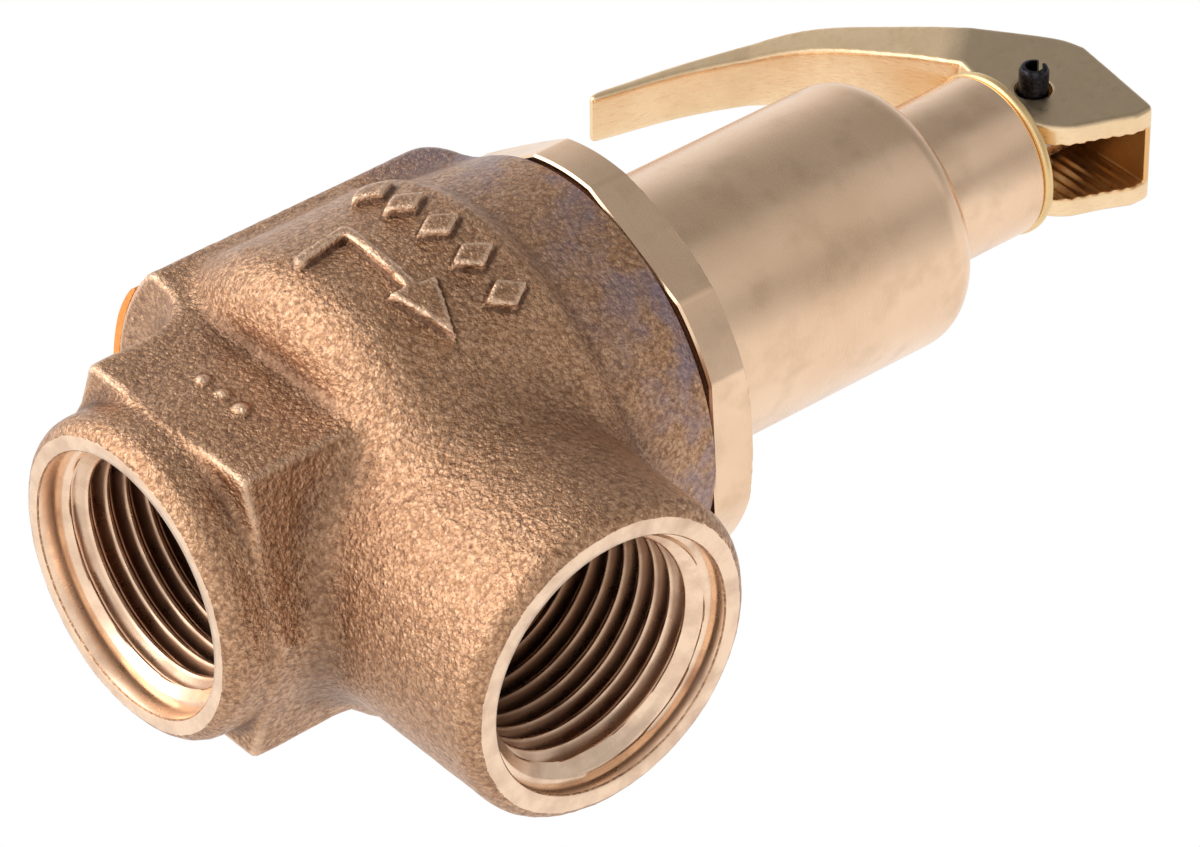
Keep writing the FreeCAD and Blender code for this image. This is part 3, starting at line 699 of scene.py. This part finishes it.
FLANGE_FLAT_R = 17.0
FLANGE_R = 18.0
FLANGE_TURN = math.radians(-64)
FLANGE_LOW = gasket_high.z
FLANGE_T = 4.2
FLANGE_TOP = FLANGE_LOW + FLANGE_T
BONNET_R = 11.5
SHOULDER_TOP_Z = 77.0
SHOULDER_TOP_R = 8.5
NECK_R = 6.91
NECK_TOP = bonnet_high.z
SPIGOT_R = 15.44
SPIGOT_BORE_R = 9.0
FLANGE_EDGE = 0.18
FLANGE_CHAMFER = 0.75
FLANGE_CHAMFER_REACH = 1.35
FLANGE_CHAMFER_SLOPE = 1.9
NECK_BREAK = 0.25
BUSH_POCKET = (5.9, 82.4)  # radius, floor
SCREW_THREAD_R = 4.5
SPRING_ROOM_TOP = (74.5, 76.0)  # heights of its cone

WASHER_BORE_R = 2.9
WASHER_ROUND = 0.4
GASKET_BORE_R = 15.5
GASKET_ROUND = 0.12
PIN_BORE_R = 0.8
PIN_OPENING = math.radians(98)
PIN_SLOT_HALF = 0.36  # radians


def flange_angles():
    """Even angles, and the exact corners where the flats meet the turned outside."""
    corner = math.acos(FLANGE_FLAT_R / FLANGE_R)
    exact = [FLANGE_TURN + side * math.pi / 3 + s * corner for side in range(6) for s in (-1, 1)]
    angles = np.concatenate([even_angles(180), np.mod(exact, 2 * math.pi)])
    return np.unique(np.round(angles, 6))


def flange_radius(angles):
    from_flat = np.mod(angles - FLANGE_TURN + math.pi / 6, math.pi / 3) - math.pi / 6
    return np.minimum(FLANGE_R, FLANGE_FLAT_R / np.cos(from_flat))


def build_bonnet():
    """The whole bonnet as one closed set of rings, from the spigot's foot up and back inside."""
    angles = flange_angles()
    flat = np.ones(len(angles))
    edge = flange_radius(angles)
    spigot = bonnet_low.z
    rings = [(flat * SPIGOT_BORE_R, spigot), (flat * (SPIGOT_R - 0.24), spigot),
             (flat * SPIGOT_R, spigot + 0.3), (flat * SPIGOT_R, FLANGE_LOW),
             (edge - FLANGE_EDGE, FLANGE_LOW), (edge, FLANGE_LOW + FLANGE_EDGE)]
    for i in range(7):
        drop = FLANGE_CHAMFER * (1 - i / 6)
        cone = FLANGE_R - FLANGE_CHAMFER_REACH + drop * FLANGE_CHAMFER_SLOPE
        rings.append((np.minimum(edge, cone), FLANGE_TOP - drop))
    outer = [(BONNET_R + 0.25, FLANGE_TOP), (BONNET_R + 0.06, FLANGE_TOP + 0.08),
             (BONNET_R, FLANGE_TOP + 0.3)]
    shoulder = BONNET_R - SHOULDER_TOP_R
    for i in range(13):
        turn = math.pi / 2 * i / 12
        outer.append((SHOULDER_TOP_R + shoulder * math.cos(turn),
                      SHOULDER_TOP_Z - shoulder + shoulder * math.sin(turn)))
    pocket_r, pocket_z = BUSH_POCKET
    neck = [(NECK_R + NECK_BREAK, SHOULDER_TOP_Z), (NECK_R + 0.05, SHOULDER_TOP_Z + 0.06),
            (NECK_R, SHOULDER_TOP_Z + NECK_BREAK), (NECK_R, NECK_TOP - NECK_BREAK),
            (NECK_R - 0.08, NECK_TOP - 0.08), (NECK_R - NECK_BREAK, NECK_TOP), (pocket_r, NECK_TOP)]
    inner = [(pocket_r, pocket_z), (SCREW_THREAD_R, pocket_z), (SCREW_THREAD_R, SPRING_ROOM_TOP[1]),
             (SPIGOT_BORE_R, SPRING_ROOM_TOP[0])]
    rings += [(flat * r, z) for r, z in outer + neck + inner]
    vertices, faces = ring_mesh(rings, angles)
    piece = mesh_object("spring_housing", vertices, faces, 25)
    return place(piece, ROOT, "turned_bronze", turned_bronze(), "bonnet")


def build_washer():
    low, high = washer_low.z, washer_high.z
    outer = washer_high.x
    corners = [(WASHER_BORE_R, low), (outer, low), (outer, high), (WASHER_BORE_R, high)]
    piece = turned("lever_washer", rounded(corners, WASHER_ROUND), 96, 50)
    return place(piece, ROOT, "turned_brass", turned_brass(), "thrust_washer")


def build_gasket():
    low, high = gasket_low.z, gasket_high.z
    outer = gasket_high.x
    corners = [(GASKET_BORE_R, low), (outer, low), (outer, high), (GASKET_BORE_R, high)]
    piece = turned("flange_gasket", rounded(corners, GASKET_ROUND), 128, 50)
    return place(piece, ROOT, "gasket_fibre", fibre(), "bonnet_gasket")


def build_pin():
    """Rolled pin: an open ring swept along Y, with both ends drawn in."""
    begin = PIN_OPENING + PIN_SLOT_HALF
    end = PIN_OPENING + 2 * math.pi - PIN_SLOT_HALF
    turns = np.linspace(begin, end, 40)
    section = [(PIN_R, t) for t in turns] + [(PIN_BORE_R, t) for t in turns[::-1]]
    stations = [(pin_low.y, 0.30), (pin_low.y + 0.08, 0.16), (pin_low.y + 0.45, 0.0),
                (pin_high.y - 0.45, 0.0), (pin_high.y - 0.08, 0.16), (pin_high.y, 0.30)]
    vertices = []
    for y, drawn in stations:
        for r, t in section:
            radius = r - drawn if r == PIN_R else r - drawn * 0.2
            vertices.append((radius * math.cos(t), y, PIN_Z + radius * math.sin(t)))
    count = len(section)
    faces = []
    for i in range(len(stations) - 1):
        for j in range(count):
            k = (j + 1) % count
            faces.append([i * count + j, i * count + k, (i + 1) * count + k, (i + 1) * count + j])
    last = (len(stations) - 1) * count
    half = count // 2
    for j in range(half - 1):
        faces.append([count - 1 - j, count - 2 - j, j + 1, j])
        faces.append([last + j, last + j + 1, last + count - 2 - j, last + count - 1 - j])
    piece = mesh_object("rolled_pin", vertices, faces, 40)
    return place(piece, "spindle", "black_steel", black_steel(), "lever_pin")


def build_label():
    """Thin film wrapped on the casting's rear, thinner towards its sides."""
    inner, outer = REAR_R - 0.02, -label_low.x
    half = math.asin(label_high.y / outer)
    angles = np.linspace(math.pi - half, math.pi + half, 41)
    heights = np.linspace(label_low.z, label_high.z, 25)
    vertices, faces = [], []
    for skin in range(2):
        for z in heights:
            for angle in angles:
                edge = 1 - abs(angle - math.pi) / half
                thick = (outer - inner) * min(1, 0.25 + 1.2 * math.sqrt(max(edge, 0)))
                radius = inner + thick if skin else inner
                vertices.append((radius * math.cos(angle), radius * math.sin(angle), z))
    across, up = len(angles), len(heights)
    sheet = across * up
    for i in range(up - 1):
        for j in range(across - 1):
            a = i * across + j
            faces.append([a, a + across, a + across + 1, a + 1])
            faces.append([sheet + a, sheet + a + 1, sheet + a + across + 1, sheet + a + across])
    border = list(range(across)) + [i * across + across - 1 for i in range(1, up)]
    border += [(up - 1) * across + j for j in range(across - 2, -1, -1)]
    border += [i * across for i in range(up - 2, 0, -1)]
    for a, b in zip(border, border[1:] + border[:1]):
        faces.append([a, b, sheet + b, sheet + a])
    piece = mesh_object("rear_film", vertices, faces, 50)
    return place(piece, ROOT, "orange_label", orange_film(), "rear_label")


# ---------------------------------------------------------------- spring

SPRING_WIRE_R = 1.1
SPRING_MEAN_R = 7.0
SPRING_COILS = 7.0
SPRING_CLOSED = 0.27  # turns at each end that lie flat
SPRING_STEPS = 48  # to the turn
SPRING_SIDES = 16
SPRING_EASE = 0.25  # how much of the climb starts and ends gently


def build_spring():
    """Round-wire spring in the CAD spring's place, its end turns closed flat."""
    steps, sides = int(SPRING_COILS * SPRING_STEPS), SPRING_SIDES
    low, high = spring_low.z + SPRING_WIRE_R, spring_high.z - SPRING_WIRE_R
    vertices = []
    for i in range(steps + 1):
        turn = SPRING_COILS * i / steps
        climb = np.clip((turn - SPRING_CLOSED) / (SPRING_COILS - 2 * SPRING_CLOSED), 0, 1)
        climb = SPRING_EASE * smooth_step(0, 1, climb) + (1 - SPRING_EASE) * climb
        z = low + (high - low) * climb
        angle = turn * 2 * math.pi
        for j in range(sides):
            t = 2 * math.pi * j / sides
            radius = SPRING_MEAN_R + SPRING_WIRE_R * math.cos(t)
            x, y = radius * math.cos(angle), radius * math.sin(angle)
            vertices.append((x, y, z + SPRING_WIRE_R * math.sin(t)))
    faces = []
    for i in range(steps):
        for j in range(sides):
            k = (j + 1) % sides
            a, b = i * sides, (i + 1) * sides
            faces.append([a + j, b + j, b + k, a + k])
    faces.append(list(range(sides)))
    faces.append([steps * sides + j for j in range(sides)][::-1])
    piece = mesh_object("coil_spring", vertices, faces, 50)
    piece.data.materials.append(wire_steel())
    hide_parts("main_spring")
    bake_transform(piece)
    return piece


# ---------------------------------------------------------------- materials

class Look:
    """A material under construction: a principled shader and short calls for its nodes."""

    def __init__(self, name, metallic, roughness):
        self.material = bpy.data.materials.new(name)
        self.material.use_nodes = True
        self.tree = self.material.node_tree
        self.shader = self.tree.nodes["Principled BSDF"]
        self.shader.inputs["Metallic"].default_value = metallic
        self.shader.inputs["Roughness"].default_value = roughness
        coordinates = self.tree.nodes.new("ShaderNodeTexCoord")
        scale = self.tree.nodes.new("ShaderNodeVectorMath")
        scale.operation = "SCALE"
        scale.inputs["Scale"].default_value = 1 / MM
        self.link(coordinates.outputs["Object"], scale.inputs[0])
        self.point = scale.outputs[0]

    def link(self, output, target):
        self.tree.links.new(output, target)

    def stretched(self, x, y, z):
        """The point in millimetres, multiplied axis by axis."""
        node = self.tree.nodes.new("ShaderNodeVectorMath")
        node.operation = "MULTIPLY"
        self.link(self.point, node.inputs[0])
        node.inputs[1].default_value = (x, y, z)
        return node.outputs[0]

    def noise(self, per_mm, detail=3.0, rough=0.55, at=None):
        node = self.tree.nodes.new("ShaderNodeTexNoise")
        self.link(at or self.point, node.inputs["Vector"])
        node.inputs["Scale"].default_value = per_mm
        node.inputs["Detail"].default_value = detail
        node.inputs["Roughness"].default_value = rough
        return node.outputs["Fac"]

    def cells(self, per_mm):
        node = self.tree.nodes.new("ShaderNodeTexVoronoi")
        self.link(self.point, node.inputs["Vector"])
        node.inputs["Scale"].default_value = per_mm
        return node.outputs["Distance"]

    def stored(self, name):
        """A value kept on the mesh."""
        node = self.tree.nodes.new("ShaderNodeAttribute")
        node.attribute_name = name
        return node.outputs["Fac"]

    def level(self, low, high):
        """0 below one height and 1 above the other, in millimetres."""
        node = self.tree.nodes.new("ShaderNodeSeparateXYZ")
        self.link(self.point, node.inputs[0])
        return self.spread(node.outputs["Z"], low, high)

    def beside(self, low, high):
        """0 at one distance from the valve's middle plane and 1 at the other, in millimetres."""
        node = self.tree.nodes.new("ShaderNodeSeparateXYZ")
        self.link(self.point, node.inputs[0])
        side = self.tree.nodes.new("ShaderNodeMath")
        side.operation = "ABSOLUTE"
        self.link(node.outputs["Y"], side.inputs[0])
        return self.spread(side.outputs[0], low, high)

    def times(self, a, b):
        node = self.tree.nodes.new("ShaderNodeMath")
        node.operation = "MULTIPLY"
        self.link(a, node.inputs[0])
        self.link(b, node.inputs[1])
        return node.outputs[0]

    def spread(self, value, low, high, to_low=0.0, to_high=1.0):
        node = self.tree.nodes.new("ShaderNodeMapRange")
        self.link(value, node.inputs["Value"])
        node.inputs["From Min"].default_value = low
        node.inputs["From Max"].default_value = high
        node.inputs["To Min"].default_value = to_low
        node.inputs["To Max"].default_value = to_high
        return node.outputs["Result"]

    def mix(self, share, a, b):
        """A colour between a and b; either may be a colour or another node's output."""
        node = self.tree.nodes.new("ShaderNodeMix")
        node.data_type = "RGBA"
        self.link(share, node.inputs["Factor"])
        for value, socket in ((a, node.inputs[6]), (b, node.inputs[7])):
            if isinstance(value, tuple):
                socket.default_value = (*value, 1.0)
            else:
                self.link(value, socket)
        return node.outputs[2]

    def sum(self, a, b, weight=1.0):
        node = self.tree.nodes.new("ShaderNodeMath")
        node.operation = "MULTIPLY_ADD"
        self.link(b, node.inputs[0])
        node.inputs[1].default_value = weight
        self.link(a, node.inputs[2])
        return node.outputs[0]

    def colour(self, output):
        self.link(output, self.shader.inputs["Base Color"])

    def roughness(self, output):
        self.link(output, self.shader.inputs["Roughness"])

    def bump(self, height, strength, distance_mm):
        node = self.tree.nodes.new("ShaderNodeBump")
        node.inputs["Strength"].default_value = strength
        node.inputs["Distance"].default_value = distance_mm * MM
        self.link(height, node.inputs["Height"])
        self.link(node.outputs["Normal"], self.shader.inputs["Normal"])


def cast_bronze():
    """Sand-cast skin: brown and granular, with painted highlights on edges and painted shade in
    creases and hollows, bluish by the flange.
    """
    look = Look("cast_bronze", 1.0, 0.42)
    grains = look.cells(2.4)
    grain = look.noise(2.1, 3.0, 0.6)
    fine = look.noise(5.5, 2.0, 0.6)
    patches = look.noise(0.16, 3.0, 0.6)
    tone = look.mix(look.spread(grain, 0.38, 0.62), (0.37, 0.192, 0.098), (0.62, 0.37, 0.222))
    tone = look.mix(look.spread(patches, 0.35, 0.7, 0.0, 0.3), tone, (0.60, 0.34, 0.195))
    tone = look.mix(look.spread(grains, 0.45, 0.8, 0.0, 0.55), tone, (0.17, 0.085, 0.053))
    tone = look.mix(look.spread(fine, 0.58, 0.68, 0.0, 0.6), tone, (0.17, 0.085, 0.055))
    tone = look.mix(look.spread(fine, 0.42, 0.32, 0.0, 0.4), tone, (0.85, 0.56, 0.38))
    bloom = look.noise(0.25, 3.0, 0.6)
    bloom = look.times(look.spread(bloom, 0.42, 0.62, 0.0, 0.65), look.level(BARREL_RIM_Z, BODY_TOP))
    tone = look.mix(bloom, tone, (0.25, 0.215, 0.29))
    # painted shade: the cast skin is darkened deep in broad hollows
    hollow = look.spread(look.stored("hollow"), 0.1, 0.9, 0.0, 0.88)
    tone = look.mix(hollow, tone, (0.12, 0.062, 0.038))
    crease = look.stored("crease")
    # painted shade: inner creases and the feet of the raised marks are darkened
    tone = look.mix(look.spread(crease, 0.46, 0.22, 0.0, 0.9), tone, (0.12, 0.06, 0.036))
    # painted highlight: convex edges are lightened
    tone = look.mix(look.spread(crease, 0.60, 0.90, 0.0, 0.75), tone, (0.90, 0.62, 0.43))
    look.colour(tone)
    look.roughness(look.spread(grain, 0.3, 0.7, 0.42, 0.31))
    look.bump(look.sum(look.sum(grain, fine, 0.5), grains, -0.4), 1.0, 0.16)
    return look.material


def machined_bronze():
    """Freshly cut bronze of the ports: pale at the mouth, with painted shade in the thread roots and
    deeper in the bore.
    """
    look = Look("machined_bronze", 1.0, 0.27)
    smut = look.noise(0.35, 4.0, 0.6)
    tone = look.mix(look.spread(smut, 0.42, 0.75), (0.93, 0.68, 0.49), (0.66, 0.45, 0.32))
    inside = look.stored("inside")
    groove = look.spread(look.stored("groove"), 0.03, 0.25)
    # painted shade: the thread roots are darkened from about 2.4 mm into the port
    painted_groove_shade = look.times(groove, look.spread(inside, 2.4, 5.0, 0.0, 0.85))
    tone = look.mix(painted_groove_shade, tone, (0.25, 0.11, 0.055))
    # painted shade: the bore darkens from 4 mm to 14 mm into the port
    tone = look.mix(look.spread(inside, 4.0, 14.0, 0.0, 0.8), tone, (0.15, 0.06, 0.025))
    look.colour(tone)
    look.roughness(look.spread(smut, 0.3, 0.7, 0.22, 0.36))
    look.bump(look.noise(9.0, 2.0, 0.5), 0.15, 0.02)
    return look.material


def turned_metal(name, pale, deep, stain, rough):
    """Metal turned about the valve's axis, with fine rings, soft patches and faint stains."""
    look = Look(name, 1.0, rough)
    rings = look.noise(1.0, 3.0, 0.7, look.stretched(0.02, 0.02, 9.0))
    patches = look.noise(0.09, 3.0, 0.55)
    marks = look.noise(0.3, 4.0, 0.55)
    tone = look.mix(look.spread(patches, 0.35, 0.65), pale, deep)
    tone = look.mix(look.spread(marks, 0.50, 0.80, 0.0, 0.6), tone, stain)
    look.colour(tone)
    look.roughness(look.spread(look.sum(rings, patches, 0.6), 0.5, 1.1, rough - 0.04, rough + 0.07))
    look.bump(rings, 0.10, 0.02)
    return look.material


def turned_bronze():
    pale, deep, stain = (0.90, 0.64, 0.44), (0.82, 0.56, 0.37), (0.60, 0.41, 0.26)
    return turned_metal("turned_bronze", pale, deep, stain, 0.24)


def turned_brass():
    pale, deep, stain = (0.84, 0.60, 0.30), (0.78, 0.54, 0.26), (0.55, 0.37, 0.16)
    return turned_metal("turned_brass", pale, deep, stain, 0.26)


def pressed_brass():
    """Hot-pressed brass of the lever: golden, duller on its cheeks and browner in its slot."""
    look = Look("pressed_brass", 1.0, 0.3)
    patches = look.noise(0.22, 3.0, 0.6)
    brushed = look.noise(1.2, 4.0, 0.6, look.stretched(1.0, 5.0, 1.0))
    tone = look.mix(look.spread(patches, 0.35, 0.68), (0.95, 0.71, 0.45), (0.86, 0.62, 0.37))
    tone = look.mix(look.spread(brushed, 0.55, 0.75, 0.0, 0.4), tone, (0.62, 0.43, 0.23))
    tone = look.mix(look.beside(HEAD_HALF - 0.35, HEAD_HALF - 0.1), tone, (0.52, 0.39, 0.25))
    slot = look.times(look.beside(SLOT_HALF + 0.3, SLOT_HALF - 0.2), look.level(87.5, 90.5))
    tone = look.mix(slot, tone, (0.80, 0.47, 0.19))
    look.colour(tone)
    look.roughness(look.spread(brushed, 0.3, 0.7, 0.26, 0.40))
    look.bump(look.sum(brushed, patches, 2.0), 0.35, 0.08)
    return look.material


def steel(name, pale, dark, rough):
    """Steel with a fine grain."""
    look = Look(name, 1.0, rough)
    grain = look.noise(3.0, 4.0, 0.6)
    look.colour(look.mix(look.spread(grain, 0.35, 0.65), dark, pale))
    look.roughness(look.spread(grain, 0.3, 0.7, rough - 0.06, rough + 0.08))
    look.bump(grain, 0.15, 0.03)
    return look.material


def stainless():
    return steel("stainless", (0.66, 0.64, 0.61), (0.52, 0.50, 0.47), 0.25)


def wire_steel():
    return steel("wire_steel", (0.40, 0.39, 0.38), (0.26, 0.25, 0.25), 0.35)


def black_steel():
    return steel("black_steel", (0.05, 0.045, 0.05), (0.012, 0.011, 0.013), 0.38)


def soft(name, pale, dark, rough, per_mm=2.0):
    """Non-metal: plastic, rubber or fibre, with a fine mottle."""
    look = Look(name, 0.0, rough)
    grain = look.noise(per_mm, 4.0, 0.6)
    look.colour(look.mix(look.spread(grain, 0.35, 0.65), dark, pale))
    look.roughness(look.spread(grain, 0.3, 0.7, rough - 0.08, rough + 0.08))
    look.bump(grain, 0.2, 0.05)
    return look.material


def orange_film():
    return soft("orange_film", (0.82, 0.29, 0.03), (0.70, 0.22, 0.02), 0.42)


def fibre():
    return soft("fibre", (0.16, 0.07, 0.035), (0.07, 0.03, 0.018), 0.8, 4.0)


def rubber():
    return soft("rubber", (0.035, 0.035, 0.035), (0.018, 0.018, 0.018), 0.6)


def ptfe():
    return soft("ptfe", (0.82, 0.80, 0.74), (0.70, 0.67, 0.60), 0.45)


CAD_LOOKS = {
    "seat_ring": stainless, "disc_seal": ptfe, "seal_retainer": stainless, "seal_screw": stainless,
    "valve_disc": turned_brass, "spindle_clip": wire_steel, "spindle": stainless,
    "guide_plate": turned_brass, "stem_seal": rubber, "lower_spring_plate": turned_brass,
    "upper_spring_plate": turned_brass, "adjusting_screw": turned_brass, "spindle_bush": ptfe,
    "lock_nut": turned_brass,
}


def dress_cad_nodes():
    made = {}
    for node, look in CAD_LOOKS.items():
        if look not in made:
            made[look] = look()
        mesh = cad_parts[node].data
        mesh.materials.clear()
        mesh.materials.append(made[look])


# ---------------------------------------------------------------- camera, floor and light

VIEW_RIGHT = Vector((0.63999, 0.00414, 0.76837))
VIEW_UP = Vector((-0.46144, -0.79752, 0.38864))
VIEW_BACK = Vector((0.61440, -0.60328, -0.50849))
CAMERA_AT = Vector((0.3474, -0.3338, -0.2410))
LENS = 214.33


def set_camera():
    data = bpy.data.cameras.new("camera")
    data.sensor_width = 36
    data.lens = LENS
    data.clip_start = 0.02
    camera = bpy.data.objects.new("camera", data)
    turn = Matrix((VIEW_RIGHT, VIEW_UP, VIEW_BACK)).transposed().to_4x4()
    camera.matrix_world = Matrix.Translation(CAMERA_AT) @ turn
    bpy.context.scene.collection.objects.link(camera)
    bpy.context.scene.camera = camera


FLOOR_Z = -0.45
FLOOR_HALF = 3.0
FLOOR_GLOW = 0.35  # a white table lit from below


def set_floor():
    half = FLOOR_HALF
    corners = ((-half, -half), (half, -half), (half, half), (-half, half))
    mesh = bpy.data.meshes.new("floor")
    mesh.from_pydata([(x, y, FLOOR_Z) for x, y in corners], [], [(0, 1, 2, 3)])
    floor = bpy.data.objects.new("floor", mesh)
    look = Look("floor", 0.0, 0.8)
    look.colour(look.mix(look.noise(0.01), (0.88, 0.88, 0.87), (0.92, 0.92, 0.91)))
    look.shader.inputs["Emission Color"].default_value = (1.0, 1.0, 1.0, 1.0)
    look.shader.inputs["Emission Strength"].default_value = FLOOR_GLOW
    mesh.materials.append(look.material)
    bpy.context.scene.collection.objects.link(floor)


def area_light(name, direction, distance, size, power):
    """A square soft box at that distance from the valve, facing it."""
    data = bpy.data.lights.new(name, "AREA")
    data.shape = "SQUARE"
    data.size = size
    data.energy = power
    light = bpy.data.objects.new(name, data)
    towards = direction.normalized()
    centre = (cad_low + cad_high) / 2
    light.location = centre + towards * distance
    light.rotation_mode = "QUATERNION"
    light.rotation_quaternion = towards.to_track_quat("Z", "Y")
    bpy.context.scene.collection.objects.link(light)


def heading(azimuth, elevation):
    """Unit vector at these angles in degrees, round from +X and up from level."""
    round_z = math.radians(azimuth)
    up = math.radians(elevation)
    return Vector((math.cos(up) * math.cos(round_z), math.cos(up) * math.sin(round_z), math.sin(up)))


# Parts of the white surround that are brighter or darker: direction, where the change
# begins and is complete (cosines of the angle from that direction), and brightness there.
SURROUND = (
    (heading(264, 45), 0.34, 0.97, 0.37),  # dim ceiling
    (heading(302, 42), 0.90, 0.98, 1.6),  # faint glow in the ceiling
    (heading(340, 22), 0.80, 0.98, 0.6),  # dark studio behind the camera
)


def set_world():
    """White surround, seen as pure white by the camera and in parts by reflections."""
    world = bpy.data.worlds.new("surround")
    bpy.context.scene.world = world
    world.use_nodes = True
    tree = world.node_tree
    background = tree.nodes["Background"]
    background.inputs["Color"].default_value = (1.0, 1.0, 1.0, 1.0)
    coordinates = tree.nodes.new("ShaderNodeTexCoord")
    path = tree.nodes.new("ShaderNodeLightPath")
    brightness = None
    for direction, begins, complete, level in SURROUND:
        towards = tree.nodes.new("ShaderNodeVectorMath")
        towards.operation = "DOT_PRODUCT"
        towards.inputs[1].default_value = direction
        change = tree.nodes.new("ShaderNodeMapRange")
        change.interpolation_type = "SMOOTHSTEP"
        change.inputs["From Min"].default_value = begins
        change.inputs["From Max"].default_value = complete
        change.inputs["To Min"].default_value = 1.0
        change.inputs["To Max"].default_value = level
        tree.links.new(coordinates.outputs["Generated"], towards.inputs[0])
        tree.links.new(towards.outputs["Value"], change.inputs["Value"])
        if brightness is None:
            brightness = change.outputs["Result"]
            continue
        both = tree.nodes.new("ShaderNodeMath")
        both.operation = "MULTIPLY"
        tree.links.new(brightness, both.inputs[0])
        tree.links.new(change.outputs["Result"], both.inputs[1])
        brightness = both.outputs[0]
    lit = tree.nodes.new("ShaderNodeMix")
    tree.links.new(path.outputs["Is Camera Ray"], lit.inputs["Factor"])
    tree.links.new(brightness, lit.inputs["A"])
    lit.inputs["B"].default_value = 1.0
    tree.links.new(lit.outputs["Result"], background.inputs["Strength"])
    bpy.context.scene.view_settings.view_transform = "Standard"


def set_stage():
    set_camera()
    set_floor()
    set_world()
    area_light("left_box", heading(222, -40), 0.45, 0.54, 1.75)


def main():
    set_stage()
    build_casting()
    build_bonnet()
    build_gasket()
    build_washer()
    build_lever()
    build_pin()
    build_label()
    build_spring()
    dress_cad_nodes()


main()
